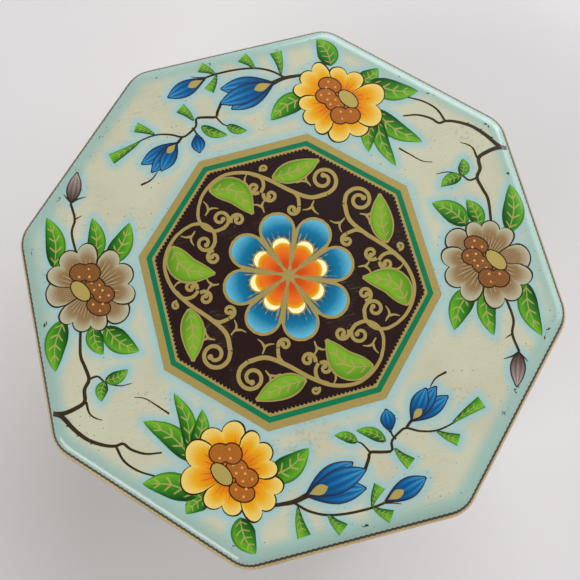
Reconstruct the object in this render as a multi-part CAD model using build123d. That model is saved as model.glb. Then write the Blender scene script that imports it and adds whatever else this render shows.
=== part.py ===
from build123d import *

import math
import os

# Octagonal talcum powder tin with a slip lid, a card collar, a sifter and a powder puff.
# Millimetres, +Z up. The origin is on the surface the tin stands on, on the tin's axis.
# Two of the eight sides face +X and -X, and two face +Y and -Y.
# A ring section is drawn in the XZ plane, its X being the distance from the axis to a side.

# Sheet metal and fits
TINPLATE = 0.30
SEAM_GAP = 0.02  # between the folded layers of the bottom seam
SEAT_GAP = 0.05  # under a piece that rests on another
SOFT_GAP = 0.30  # round powder, fabric and wadding

# Octagon shared by every piece: all corners turn about the same eight vertical lines
SIDES = 8
LID_FLATS = 140.0  # outside of the lid's skirt, side to opposite side
LID_CORNER_RADIUS = 10.0

# Lid
TIN_HEIGHT = 65.0  # standing surface to the crown of the closed lid
LID_DEPTH = 17.0  # crown to the underside of the lid's curl
LID_SHOULDER_RADIUS = 5.2
LID_CURL = 1.6  # outside diameter of the curl rolled outwards at the skirt's edge
LID_SLIP = 0.25  # between the lid's skirt and the body, each side

# Body
RIM_CURL = 1.4  # outside diameter of the rim, rolled inwards
RIM_CLEARANCE = 0.12  # between the rim and the inside of the lid's shoulder
STOP_BEAD_REACH = 1.5  # how far the bead under the lid stands out of the wall
STOP_BEAD_RUN = 1.5  # its height, measured on the middle of the sheet
STOP_BEAD_BEND = 0.6
STOP_BEAD_ROOT_BEND = 0.375
LOCK_SEAM_WIDTH = 5.0
LOCK_SEAM_THICKNESS = 0.6
LOCK_GROOVE_WIDTH = 0.5
LOCK_GROOVE_DEPTH = 0.12

# Base, double seamed to the body
SEAM_HEIGHT = 3.0
SEAM_BEND = 0.4
HOOK_BEND = 0.3
HOOK_GAP = 0.15  # between a hook's raw edge and the fold it reaches into
BASE_RECESS = 2.45  # standing surface to the underside of the panel
PANEL_STEP_RADIUS = 47.0
PANEL_STEP_RISE = 0.8

# Card collar and sifter
CARD = 1.0
COLLAR_HEIGHT = 33.2
SIFTER_RIM_GAP = 0.25  # between the sifter's lip and the inside of the rolled rim
SIFTER_LIP_HEIGHT = 2.0
SIFTER_BEND = 0.6
SIFTER_LEDGE = 1.0  # least width of flat plate left round the sunken field
PUFF_MARGIN = 8.0  # edge of the puff to the edge of the sunken field
SIFTER_SINK = 2.5
SIFTER_SLOPE = 0.6
HOLE_DIAMETER = 2.0
HOLE_PITCH = 8.6
HOLE_RINGS = 5
HOLES_IN_FIRST_RING = 6

# Talc
TALC_DEPTH = 24.0
TALC_EDGE = 2.0

# Puff
PUFF_RADIUS = 48.0
PILE_THICKNESS = 8.0
PILE_EDGE = 3.6
PIPING_DIAMETER = 2.8
STUFFING_DOME = 8.5
BACK_EDGE = 0.7  # upright edge below the dome of the back
BACK_THICKNESS = 0.7
RIBBON_WIDTH = 15.0
RIBBON_THICKNESS = 0.5
RIBBON_SLACK = 0.5  # between the band and the satin back
RIBBON_END_INSET = 2.0  # from the edge of the back to the band's sewn ends

# Values that follow from the sizes above
STEP_ANGLE = 360.0 / SIDES
HALF_STEP = math.radians(STEP_ANGLE / 2)
LID_FACE = LID_FLATS / 2
CORNER_CENTRE = LID_FACE - LID_CORNER_RADIUS
SIDE_HALF_RUN = CORNER_CENTRE * math.tan(HALF_STEP)
PLATE_LAP = 2.0  # past the corners' centres, so that flat plates and bent rings share an edge
PLATE_EDGE = CORNER_CENTRE + PLATE_LAP

LID_MIDDLE = LID_FACE - TINPLATE / 2
CROWN_TOP = TIN_HEIGHT
LID_EDGE = TIN_HEIGHT - LID_DEPTH

BODY_FACE = LID_FACE - TINPLATE - LID_SLIP
BODY_MIDDLE = BODY_FACE - TINPLATE / 2
RIM_BEND = (RIM_CURL - TINPLATE) / 2 - SEAM_GAP
RIM_ROUND = RIM_BEND + TINPLATE / 2
SHOULDER_TO_RIM = LID_SHOULDER_RADIUS - TINPLATE - RIM_CLEARANCE - RIM_ROUND
SHOULDER_TO_RIM_ACROSS = BODY_MIDDLE - RIM_BEND - (LID_FACE - LID_SHOULDER_RADIUS)
SHOULDER_TO_RIM_UP = math.sqrt(SHOULDER_TO_RIM ** 2 - SHOULDER_TO_RIM_ACROSS ** 2)
RIM_TOP = TIN_HEIGHT - LID_SHOULDER_RADIUS + SHOULDER_TO_RIM_UP + RIM_ROUND
RIM_INSIDE = BODY_FACE - RIM_CURL
BEAD_TOP = LID_EDGE - SEAT_GAP

LAYER = TINPLATE + SEAM_GAP
CHUCK_MIDDLE = BODY_MIDDLE - LAYER
COVER_HOOK_MIDDLE = BODY_MIDDLE + LAYER
BODY_HOOK_MIDDLE = COVER_HOOK_MIDDLE + LAYER
SEAM_WALL_MIDDLE = BODY_HOOK_MIDDLE + LAYER
PANEL_MIDDLE = BASE_RECESS + TINPLATE / 2
PANEL_TOP = BASE_RECESS + TINPLATE

COLLAR_FACE = RIM_INSIDE - SIFTER_RIM_GAP
COLLAR_INSIDE = COLLAR_FACE - CARD
COLLAR_TOP = PANEL_TOP + COLLAR_HEIGHT

SIFTER_RIM_MIDDLE = COLLAR_TOP + SEAT_GAP + TINPLATE / 2
SIFTER_FLOOR_MIDDLE = SIFTER_RIM_MIDDLE - SIFTER_SINK
SIFTER_FLOOR_TOP = SIFTER_FLOOR_MIDDLE + TINPLATE / 2
SIFTER_FIELD_RADIUS = min(PUFF_RADIUS + PUFF_MARGIN, PLATE_EDGE - SIFTER_LEDGE)

PILE_BOTTOM = SIFTER_FLOOR_TOP + SOFT_GAP
PILE_TOP = PILE_BOTTOM + PILE_THICKNESS
BACK_BOTTOM = PILE_TOP + SOFT_GAP
BACK_RADIUS = PUFF_RADIUS - PIPING_DIAMETER - SOFT_GAP
BACK_DOME = STUFFING_DOME + SOFT_GAP + BACK_THICKNESS


def octagon(distance):
    """Rounded octagon whose sides lie at this distance from the axis."""
    sharp = RegularPolygon(distance, SIDES, major_radius=False, rotation=STEP_ANGLE / 2)
    return fillet(sharp.vertices(), distance - CORNER_CENTRE)


def octagon_plate(distance, bottom, thickness):
    """Flat octagonal plate with rounded corners."""
    return extrude(Pos(0, 0, bottom) * octagon(distance), thickness)


def line_beside(points, bends, offset):
    """The bent line that runs beside another, offset to the left of its direction."""
    runs = [(end - start).normalized() for start, end in zip(points, points[1:])]
    normals = [Vector(-run.Z, 0, run.X) for run in runs]
    moved = [points[0] + normals[0] * offset]
    radii = []
    for point, before, after, bend in zip(points[1:], normals, normals[1:], bends):
        turns_left = after.X * before.Z < after.Z * before.X
        moved.append(point + (before + after) * (offset / (1 + before.dot(after))))
        radii.append(bend - offset if turns_left else bend + offset)
    moved.append(points[-1] + normals[-1] * offset)
    return FilletPolyline(*moved, radius=radii)


def sheet_section(middle_line, bends, thickness=TINPLATE):
    """Section of bent sheet, from the points and bend radii of the line down its middle."""
    points = [Vector(distance, 0, height) for distance, height in middle_line]
    left = line_beside(points, bends, thickness / 2)
    right = line_beside(points, bends, -thickness / 2)
    return make_face([left, right, Line(left @ 0, right @ 0), Line(left @ 1, right @ 1)])


def octagon_ring(section):
    """Carry a section round the octagon: eight straight sides and eight turned corners."""
    side = extrude(section, SIDE_HALF_RUN, both=True)
    corner = revolve(Pos(-CORNER_CENTRE, 0, 0) * section, Axis.Z, STEP_ANGLE)
    corner = Pos(CORNER_CENTRE, SIDE_HALF_RUN, 0) * corner
    turned = [Rot(0, 0, STEP_ANGLE * k) * piece for k in range(SIDES) for piece in (side, corner)]
    return turned[0].fuse(*turned[1:]).clean()


def turned_section(section):
    """Turn a section once round the tin's axis."""
    return revolve(section, Axis.Z, 360)


def lid_shell():
    """Drawn lid: flat crown, rounded shoulder, straight skirt and an edge curled outwards."""
    crown_middle = CROWN_TOP - TINPLATE / 2
    curl_side = LID_CURL - TINPLATE
    curl_bottom = LID_EDGE + TINPLATE / 2
    curl_bend = curl_side / 2 - SEAM_GAP
    middle_line = [
        (PLATE_EDGE, crown_middle),
        (LID_MIDDLE, crown_middle),
        (LID_MIDDLE, curl_bottom),
        (LID_MIDDLE + curl_side, curl_bottom),
        (LID_MIDDLE + curl_side, curl_bottom + curl_side),
        (LID_MIDDLE + TINPLATE + SEAM_GAP, curl_bottom + curl_side),
    ]
    bends = [LID_SHOULDER_RADIUS - TINPLATE / 2, curl_bend, curl_bend, curl_bend]
    shell = octagon_ring(sheet_section(middle_line, bends))
    return shell + octagon_plate(PLATE_EDGE, CROWN_TOP - TINPLATE, TINPLATE)


def body_wall():
    """Octagonal sleeve: bottom hook, wall, bead that stops the lid, and a rim rolled inwards."""
    hook_bottom = TINPLATE / 2 + LAYER
    hook_top = SEAM_HEIGHT - TINPLATE - HOOK_GAP
    bead_top = BEAD_TOP - TINPLATE / 2
    bead_bottom = bead_top - STOP_BEAD_RUN
    bead_middle = BODY_MIDDLE + STOP_BEAD_REACH
    rim_middle = RIM_TOP - TINPLATE / 2
    curl_side = RIM_CURL - TINPLATE
    middle_line = [
        (BODY_HOOK_MIDDLE, hook_top),
        (BODY_HOOK_MIDDLE, hook_bottom),
        (BODY_MIDDLE, hook_bottom),
        (BODY_MIDDLE, bead_bottom),
        (bead_middle, bead_bottom),
        (bead_middle, bead_top),
        (BODY_MIDDLE, bead_top),
        (BODY_MIDDLE, rim_middle),
        (BODY_MIDDLE - curl_side, rim_middle),
        (BODY_MIDDLE - curl_side, rim_middle - curl_side),
        (BODY_MIDDLE - TINPLATE - SEAM_GAP, rim_middle - curl_side),
    ]
    bead_bends = [STOP_BEAD_ROOT_BEND, STOP_BEAD_BEND, STOP_BEAD_BEND, STOP_BEAD_ROOT_BEND]
    bends = [HOOK_BEND, HOOK_BEND, *bead_bends, RIM_BEND, RIM_BEND, RIM_BEND]
    wall = octagon_ring(sheet_section(middle_line, bends))
    return lock_seam(wall, bead_bottom - TINPLATE, bead_top + TINPLATE)


def lock_seam(wall, below_bead, above_bead):
    """Add the folded seam that closes the sleeve on its +Y side, and the line it leaves outside."""
    bottom = SEAM_HEIGHT + TINPLATE
    top = RIM_TOP - RIM_CURL - TINPLATE
    depth = LOCK_SEAM_THICKNESS + TINPLATE / 2
    fold = Box(LOCK_SEAM_WIDTH, depth, top - bottom, align=(Align.CENTER, Align.MAX, Align.MIN))
    wall += Pos(0, BODY_MIDDLE, bottom) * fold
    for low, high in ((bottom, below_bead - LOCK_GROOVE_WIDTH), (above_bead + LOCK_GROOVE_WIDTH, top)):
        groove = Box(LOCK_GROOVE_WIDTH, 2 * LOCK_GROOVE_DEPTH, high - low,
                     align=(Align.CENTER, Align.CENTER, Align.MIN))
        wall -= Pos(LOCK_SEAM_WIDTH / 2, BODY_FACE, low) * groove
    return wall


def base_plate():
    """Base: stepped panel, wall down inside the body, and the outer half of the double seam."""
    seam_bottom = TINPLATE / 2
    seam_top = SEAM_HEIGHT - TINPLATE / 2
    hook_end = TINPLATE / 2 + LAYER + TINPLATE / 2 + HOOK_GAP
    middle_line = [
        (PLATE_EDGE, PANEL_MIDDLE),
        (CHUCK_MIDDLE, PANEL_MIDDLE),
        (CHUCK_MIDDLE, seam_bottom),
        (SEAM_WALL_MIDDLE, seam_bottom),
        (SEAM_WALL_MIDDLE, seam_top),
        (COVER_HOOK_MIDDLE, seam_top),
        (COVER_HOOK_MIDDLE, hook_end),
    ]
    bends = [SEAM_BEND, SEAM_BEND, SEAM_BEND, HOOK_BEND, HOOK_BEND]
    seam = octagon_ring(sheet_section(middle_line, bends))
    panel = octagon_plate(PLATE_EDGE, BASE_RECESS, TINPLATE)
    panel -= Cylinder(PANEL_STEP_RADIUS, 4 * PANEL_TOP)
    step_line = [
        (PANEL_STEP_RADIUS, PANEL_MIDDLE),
        (PANEL_STEP_RADIUS - PANEL_STEP_RISE, PANEL_MIDDLE),
        (PANEL_STEP_RADIUS - 2 * PANEL_STEP_RISE, PANEL_MIDDLE + PANEL_STEP_RISE),
        (0, PANEL_MIDDLE + PANEL_STEP_RISE),
    ]
    step = turned_section(sheet_section(step_line, [SEAM_BEND, SEAM_BEND]))
    return seam + panel + step


def card_collar():
    """Strip of card bent to the octagon that stands on the base and carries the sifter."""
    outside = octagon_plate(COLLAR_FACE, PANEL_TOP, COLLAR_HEIGHT)
    inside = octagon_plate(COLLAR_INSIDE, PANEL_TOP, COLLAR_HEIGHT)
    return outside - inside


def sifter_plate():
    """Tinplate sifter: octagonal rim with a lip turned up, and a round sunken field of holes."""
    lip_middle = COLLAR_FACE - TINPLATE / 2
    rim_line = [
        (PLATE_EDGE, SIFTER_RIM_MIDDLE),
        (lip_middle, SIFTER_RIM_MIDDLE),
        (lip_middle, SIFTER_RIM_MIDDLE + SIFTER_LIP_HEIGHT),
    ]
    rim = octagon_ring(sheet_section(rim_line, [SIFTER_BEND]))
    plate = octagon_plate(PLATE_EDGE, SIFTER_RIM_MIDDLE - TINPLATE / 2, TINPLATE)
    plate -= Pos(0, 0, SIFTER_RIM_MIDDLE) * Cylinder(SIFTER_FIELD_RADIUS, 2 * TINPLATE)
    wall_top = SIFTER_FIELD_RADIUS - 2 * SIFTER_BEND
    field_line = [
        (SIFTER_FIELD_RADIUS, SIFTER_RIM_MIDDLE),
        (wall_top, SIFTER_RIM_MIDDLE),
        (wall_top - SIFTER_SLOPE, SIFTER_FLOOR_MIDDLE),
        (0, SIFTER_FLOOR_MIDDLE),
    ]
    field = turned_section(sheet_section(field_line, [SIFTER_BEND, SIFTER_BEND]))
    return rim + plate + perforated(field)


def perforated(field):
    """Punch the sifting holes: one in the middle and rings with six more holes each."""
    drill = Cylinder(HOLE_DIAMETER / 2, 4 * TINPLATE)
    places = [Pos(0, 0, SIFTER_FLOOR_MIDDLE)]
    for ring in range(1, HOLE_RINGS + 1):
        count = HOLES_IN_FIRST_RING * ring
        for k in range(count):
            angle = 2 * math.pi * k / count
            x = ring * HOLE_PITCH * math.cos(angle)
            y = ring * HOLE_PITCH * math.sin(angle)
            places.append(Pos(x, y, SIFTER_FLOOR_MIDDLE))
    return field - [place * drill for place in places]


def talcum_powder():
    """The fill: loose talc inside the collar, settled round the step in the base."""
    bottom = PANEL_TOP + SOFT_GAP
    heap = octagon_plate(COLLAR_INSIDE - SOFT_GAP, bottom, TALC_DEPTH)
    heap = fillet(heap.faces().sort_by(Axis.Z)[-1].edges(), TALC_EDGE)
    step_height = 2 * PANEL_STEP_RISE
    return heap - Pos(0, 0, bottom) * Cylinder(PANEL_STEP_RADIUS + SOFT_GAP, step_height)


def domed_disc(radius, bottom, edge, dome):
    """Round cushion half: flat underneath, a short upright edge, and a spherical top."""
    sphere_radius = (radius ** 2 + dome ** 2) / (2 * dome)
    top = bottom + edge + dome
    blank = Pos(0, 0, (bottom + top) / 2) * Cylinder(radius, top - bottom)
    return blank & Pos(0, 0, top - sphere_radius) * Sphere(sphere_radius)


def puff_pile():
    """Plush pad that picks up the powder."""
    pad = Pos(0, 0, PILE_BOTTOM + PILE_THICKNESS / 2) * Cylinder(PUFF_RADIUS, PILE_THICKNESS)
    return fillet(pad.edges(), PILE_EDGE)


def puff_stuffing():
    """Cotton wadding between the pile and the satin back."""
    radius = BACK_RADIUS - BACK_THICKNESS - SOFT_GAP
    return domed_disc(radius, BACK_BOTTOM, BACK_EDGE, STUFFING_DOME)


def puff_back():
    """Satin back: a thin dome over the wadding."""
    outside = domed_disc(BACK_RADIUS, BACK_BOTTOM, BACK_EDGE, BACK_DOME)
    hollow = domed_disc(BACK_RADIUS - BACK_THICKNESS, BACK_BOTTOM, BACK_EDGE, BACK_DOME - BACK_THICKNESS)
    return outside - hollow


def puff_piping():
    """Covered cord sewn round the seam between the pile and the back."""
    middle = PILE_TOP + SOFT_GAP + PIPING_DIAMETER / 2
    return Pos(0, 0, middle) * Torus(PUFF_RADIUS - PIPING_DIAMETER / 2, PIPING_DIAMETER / 2)


def puff_ribbon():
    """Satin band across the back that the fingers slide under."""
    half_span = BACK_RADIUS - RIBBON_END_INSET
    dome_radius = (BACK_RADIUS ** 2 + BACK_DOME ** 2) / (2 * BACK_DOME)
    dome_centre = BACK_BOTTOM + BACK_EDGE + BACK_DOME - dome_radius
    faces = []
    for lift in (RIBBON_SLACK, RIBBON_SLACK + RIBBON_THICKNESS):
        radius = dome_radius + lift
        end_height = dome_centre + math.sqrt(radius ** 2 - half_span ** 2)
        crest = (0, 0, dome_centre + radius)
        faces.append(ThreePointArc((-half_span, 0, end_height), crest, (half_span, 0, end_height)))
    ends = [Line(faces[0] @ k, faces[1] @ k) for k in (0, 1)]
    return extrude(make_face(faces + ends), RIBBON_WIDTH / 2, both=True)


PIECES = {
    "lid_shell": lid_shell,
    "body_wall": body_wall,
    "base_plate": base_plate,
    "card_collar": card_collar,
    "sifter_plate": sifter_plate,
    "talcum_powder": talcum_powder,
    "puff_pile": puff_pile,
    "puff_stuffing": puff_stuffing,
    "puff_back": puff_back,
    "puff_piping": puff_piping,
    "puff_ribbon": puff_ribbon,
}

os.makedirs("parts", exist_ok=True)
for name, make in PIECES.items():
    piece = make()
    piece.label = name
    export_step(piece, f"parts/{name}.step")
    print(name, len(piece.solids()), round(piece.volume, 1))
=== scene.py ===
"""Finishes, printed decoration, powder puff and studio for an octagonal talcum powder tin.

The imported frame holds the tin's construction. This script gives every carried-over piece its finish,
prints the flowered decoration as thin layers of ink on the lid and the sides, and models the soft
pieces: the settled talc, the plush puff with its satin back, its piping and its ribbon.
Lengths are written in millimetres and turned to metres where a mesh is finished.
"""

import logging
import math
import random
from dataclasses import dataclass, field
from enum import Enum
from typing import Callable, ClassVar, Optional, Sequence, Union

import bmesh
import bpy
from bmesh.types import BMesh, BMVert
from bpy.types import Material, Object
from mathutils import Matrix, Vector, kdtree, noise


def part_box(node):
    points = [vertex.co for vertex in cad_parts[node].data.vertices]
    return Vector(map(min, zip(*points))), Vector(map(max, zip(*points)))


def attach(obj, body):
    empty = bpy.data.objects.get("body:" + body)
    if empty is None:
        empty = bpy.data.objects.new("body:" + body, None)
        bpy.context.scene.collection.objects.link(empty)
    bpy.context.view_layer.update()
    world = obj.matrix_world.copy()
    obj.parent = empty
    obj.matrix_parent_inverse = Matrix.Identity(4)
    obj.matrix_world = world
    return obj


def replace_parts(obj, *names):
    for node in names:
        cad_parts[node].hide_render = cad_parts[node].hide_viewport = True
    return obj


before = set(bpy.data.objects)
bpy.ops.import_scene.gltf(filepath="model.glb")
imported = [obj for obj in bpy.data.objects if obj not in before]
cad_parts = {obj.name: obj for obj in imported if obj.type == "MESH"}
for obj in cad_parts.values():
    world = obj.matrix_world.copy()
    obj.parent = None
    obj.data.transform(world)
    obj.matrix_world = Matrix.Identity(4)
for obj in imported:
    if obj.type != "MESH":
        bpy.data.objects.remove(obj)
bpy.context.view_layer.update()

LOG = logging.getLogger("powder_tin")
MM = 0.001
SIDES = 8
SECTOR = 2 * math.pi / SIDES
CURL_REACH = 1.3
Colour = tuple[float, float, float, float]
Point = tuple[float, float]
Place = Callable[[Vector, float], Vector]
Outline = Callable[[float], float]


def clamp(value: float, low: float = 0.0, high: float = 1.0) -> float:
    """The value, kept between low and high."""
    return min(max(value, low), high)


def swatch(red: int, green: int, blue: int) -> Colour:
    """Linear colour of a paint swatch whose values run from 0 to 255."""
    def channel(value: int) -> float:
        """Linear share of one channel."""
        share = value / 255
        return share / 12.92 if share <= 0.04045 else ((share + 0.055) / 1.055) ** 2.4

    return (channel(red), channel(green), channel(blue), 1.0)


class Paint(Enum):
    """Colours of the print's ground, its wear, the inks, the metal, the soft parts and the studio."""

    CREAM = swatch(191, 190, 164)
    CREAM_SHADE = swatch(186, 183, 156)
    SKY = swatch(130, 186, 196)
    PALE_BLUE = swatch(146, 178, 168)
    RIM_DARK = swatch(40, 36, 18)

    SPECK = swatch(150, 132, 98)
    FINE_SPECK = swatch(120, 104, 76)
    SCRATCH = swatch(168, 158, 130)
    INK_SCRATCH = swatch(170, 160, 130)
    NICK = swatch(66, 52, 34)
    SCUFF = swatch(158, 142, 106)

    OUTLINE = swatch(50, 28, 10)
    TWIG = swatch(52, 46, 22)
    LEAF = swatch(52, 128, 26)
    LEAF_DARK = swatch(12, 66, 18)
    LEAF_LIGHT = swatch(112, 176, 40)
    LEAF_VEIN = swatch(168, 158, 88)
    ORANGE = swatch(220, 114, 8)
    YELLOW = swatch(222, 160, 20)
    YELLOW_PALE = swatch(222, 196, 106)
    LOBE = swatch(176, 98, 22)
    LOBE_DOT = swatch(216, 150, 78)
    BEAN = swatch(178, 158, 84)
    TAUPE = swatch(140, 114, 76)
    TAUPE_PALE = swatch(172, 168, 140)
    TAUPE_LINE = swatch(124, 90, 50)
    COCOA = swatch(140, 88, 38)
    BUD = swatch(14, 92, 146)
    BUD_DARK = swatch(8, 40, 78)
    BUD_LIGHT = swatch(66, 146, 186)
    GREY_BUD = swatch(128, 112, 112)

    AUBERGINE = swatch(32, 9, 8)
    EMERALD = swatch(6, 112, 74)
    GOLD_INK = swatch(168, 146, 88)
    LIME = swatch(116, 164, 38)
    LIME_SHADE = swatch(82, 136, 26)
    TEAL = swatch(16, 112, 150)
    TEAL_DARK = swatch(6, 60, 92)
    TEAL_LIGHT = swatch(92, 174, 200)
    FLAME = swatch(200, 70, 16)
    FLAME_LIGHT = swatch(226, 112, 28)
    BUTTER = swatch(255, 240, 178)

    GOLD = swatch(208, 178, 100)
    GOLD_DEEP = swatch(150, 118, 58)
    TIN = swatch(176, 172, 160)
    RUST = swatch(96, 66, 40)

    PULP = swatch(150, 128, 98)
    PULP_DARK = swatch(118, 98, 72)
    TALC = swatch(246, 240, 236)
    TALC_SHADE = swatch(226, 216, 212)
    PLUSH = swatch(250, 226, 214)
    PLUSH_SHADE = swatch(232, 198, 184)
    COTTON = swatch(244, 240, 230)
    SATIN = swatch(236, 176, 160)
    SATIN_SHADE = swatch(206, 136, 120)
    CORD = swatch(214, 180, 104)
    CORD_SHADE = swatch(160, 124, 60)
    RIBBON = swatch(120, 160, 110)
    RIBBON_SHADE = swatch(84, 122, 78)

    FLOOR = swatch(209, 204, 204)
    FLOOR_CLOUD = swatch(214, 211, 212)


# ---------------------------------------------------------------- shader toolkit


class Signal:
    """One output socket in a material; arithmetic on it adds Math nodes."""

    def __init__(self, sheet: "NodeSheet", socket: bpy.types.NodeSocket) -> None:
        """Wrap a socket of the sheet's node tree."""
        self.sheet = sheet
        self.socket = socket

    def __add__(self, other: "Value") -> "Signal":
        """Sum."""
        return self.sheet.maths("ADD", self, other)

    def __radd__(self, other: "Value") -> "Signal":
        """Sum with the number first."""
        return self.sheet.maths("ADD", other, self)

    def __sub__(self, other: "Value") -> "Signal":
        """Difference."""
        return self.sheet.maths("SUBTRACT", self, other)

    def __rsub__(self, other: "Value") -> "Signal":
        """Difference with the number first."""
        return self.sheet.maths("SUBTRACT", other, self)

    def __mul__(self, other: "Value") -> "Signal":
        """Product."""
        return self.sheet.maths("MULTIPLY", self, other)

    def __rmul__(self, other: "Value") -> "Signal":
        """Product with the number first."""
        return self.sheet.maths("MULTIPLY", other, self)

    def __truediv__(self, other: "Value") -> "Signal":
        """Quotient."""
        return self.sheet.maths("DIVIDE", self, other)

    def __abs__(self) -> "Signal":
        """Size without the sign."""
        return self.sheet.maths("ABSOLUTE", self)


Value = Union[Signal, float]
Hue = Union[Signal, Paint]


class NodeSheet:
    """Node tree of one material, written as expressions."""

    def __init__(self, name: str) -> None:
        """Start an empty material of this name."""
        self.material = bpy.data.materials.new(name)
        self.material.use_nodes = True
        self.tree = self.material.node_tree
        self.tree.nodes.clear()

    def add(self, kind: str, settings: Optional[dict] = None, values: Optional[dict] = None,
            output: Union[int, str] = 0) -> Signal:
        """Add one node.

        Args:
            kind: the node's type.
            settings: the node's own properties, which are set first.
            values: a value, a Paint or a Signal for each input, by index or name.
            output: which output to return.

        Returns:
            The chosen output as a Signal.
        """
        node = self.tree.nodes.new(kind)
        for key, value in (settings or {}).items():
            if key == "stops":
                self._set_stops(node.color_ramp, value)
            else:
                setattr(node, key, value)
        for key, value in (values or {}).items():
            if isinstance(value, Signal):
                self.tree.links.new(value.socket, node.inputs[key])
            else:
                node.inputs[key].default_value = value.value if isinstance(value, Paint) else value
        return Signal(self, node.outputs[output])

    @staticmethod
    def _set_stops(ramp: bpy.types.ColorRamp, stops: Sequence[tuple[float, Colour]]) -> None:
        """Give a colour ramp its stops.

        Args:
            ramp: the ramp.
            stops: the position and the colour of each stop.
        """
        while len(ramp.elements) < len(stops):
            ramp.elements.new(0.5)
        for element, (position, colour) in zip(ramp.elements, stops):
            element.position = position
            element.color = colour

    def maths(self, operation: str, *values: Value) -> Signal:
        """Math node of this operation."""
        return self.add("ShaderNodeMath", {"operation": operation}, dict(enumerate(values)))

    def step(self, low: float, high: float, value: Value) -> Signal:
        """Smooth step from 0 at low to 1 at high; high may be the smaller."""
        return self.add("ShaderNodeMapRange", {"interpolation_type": "SMOOTHSTEP"},
                        {0: value, 1: low, 2: high, 3: 0.0, 4: 1.0})

    def blend(self, first: Hue, second: Hue, share: Value) -> Signal:
        """Colour that goes from the first to the second as share goes from 0 to 1."""
        return self.add("ShaderNodeMix", {"data_type": "RGBA"}, {0: share, 6: first, 7: second}, 2)

    def ramp(self, value: Value, *stops: tuple[float, Paint]) -> Signal:
        """Colour ramp through named paints."""
        colours = [(position, paint.value) for position, paint in stops]
        return self.add("ShaderNodeValToRGB", {"stops": colours}, {0: value})

    def place(self) -> Signal:
        """Object coordinates, in metres."""
        return self.add("ShaderNodeTexCoord", output="Object")

    def normal(self) -> tuple[Signal, Signal, Signal]:
        """The three parts of the surface's normal."""
        return self.split(self.add("ShaderNodeNewGeometry", output="Normal"))

    def split(self, vector: Signal) -> tuple[Signal, Signal, Signal]:
        """The three parts of a vector."""
        first = self.add("ShaderNodeSeparateXYZ", None, {0: vector})
        node = first.socket.node
        return first, Signal(self, node.outputs[1]), Signal(self, node.outputs[2])

    def patch(self) -> tuple[Signal, Signal]:
        """Across and along a printed patch, from -1 to 1 and from 0 to 1."""
        across, along, _ = self.split(self.add("ShaderNodeUVMap", {"uv_map": "UVMap"}))
        return across * 2 - 1, along

    def noise(self, size: float, detail: float = 3.0, vector: Optional[Signal] = None) -> Signal:
        """Noise whose features are about this many millimetres across."""
        return self.add("ShaderNodeTexNoise", None,
                        {"Vector": vector or self.place(), "Scale": 1 / (size * MM), "Detail": detail}, "Fac")

    def cells(self, size: float, feature: str = "F1", vector: Optional[Signal] = None) -> Signal:
        """Voronoi distance for cells about this many millimetres across."""
        return self.add("ShaderNodeTexVoronoi", {"feature": feature},
                        {"Vector": vector or self.place(), "Scale": 1 / (size * MM)}, "Distance")

    def bump(self, height: Value, depth: float, strength: float = 1.0) -> Signal:
        """Bumped normal from a height between 0 and 1 that stands for depth millimetres."""
        return self.add("ShaderNodeBump", None,
                        {"Strength": strength, "Distance": depth * MM, "Height": height}, "Normal")

    def scratches(self, size: float, turn: float, amount: float) -> Signal:
        """Sparse fine scratches, as a mask.

        Args:
            size: length of a scratch in millimetres.
            turn: direction of the scratches in radians.
            amount: share of them that shows, from 0 to 1.

        Returns:
            A mask that is 1 on a scratch.
        """
        turned = self.add("ShaderNodeMapping", None,
                          {0: self.place(), "Rotation": (0, 0, turn), "Scale": (1, 14, 1)})
        line = self.cells(size, "DISTANCE_TO_EDGE", turned)
        gate = self.noise(size * 1.7, 2)
        return self.step(0.035, 0.0, line) * self.step(1 - amount, 1 - amount + 0.05, gate)

    def specks(self, size: float, amount: float) -> Signal:
        """Sparse specks, as a mask.

        Args:
            size: spacing of the specks in millimetres.
            amount: share of them that shows, from 0 to 1.

        Returns:
            A mask that is 1 in a speck.
        """
        ragged = self.cells(size) + self.noise(size * 0.3, 2) * 0.2
        gate = self.noise(size * 3.1, 1)
        return self.step(0.30, 0.16, ragged) * self.step(1 - amount, 1 - amount + 0.06, gate)

    def pinholes(self, size: float, amount: float) -> Signal:
        """Tiny dark pinholes and nicks, as a mask."""
        gate = self.noise(size * 5, 3)
        return self.step(0.13, 0.08, self.cells(size)) * self.step(1 - amount, 1 - amount + 0.1, gate)

    def surface(self, colour: Hue, **inputs: Value) -> Material:
        """Close the material with a Principled shader.

        Args:
            colour: the base colour.
            inputs: other sockets of the shader, with underscores for the spaces in their names.

        Returns:
            The finished material.
        """
        values = {"Base Color": colour, "Specular IOR Level": 0.18}
        values.update({key.replace("_", " "): value for key, value in inputs.items()})
        shader = self.add("ShaderNodeBsdfPrincipled", None, values)
        self.add_output(shader)
        return self.material

    def add_output(self, shader: Signal) -> None:
        """Send a shader to the material's output."""
        output = self.tree.nodes.new("ShaderNodeOutputMaterial")
        self.tree.links.new(shader.socket, output.inputs[0])


# ---------------------------------------------------------------- the tin's octagon


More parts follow.
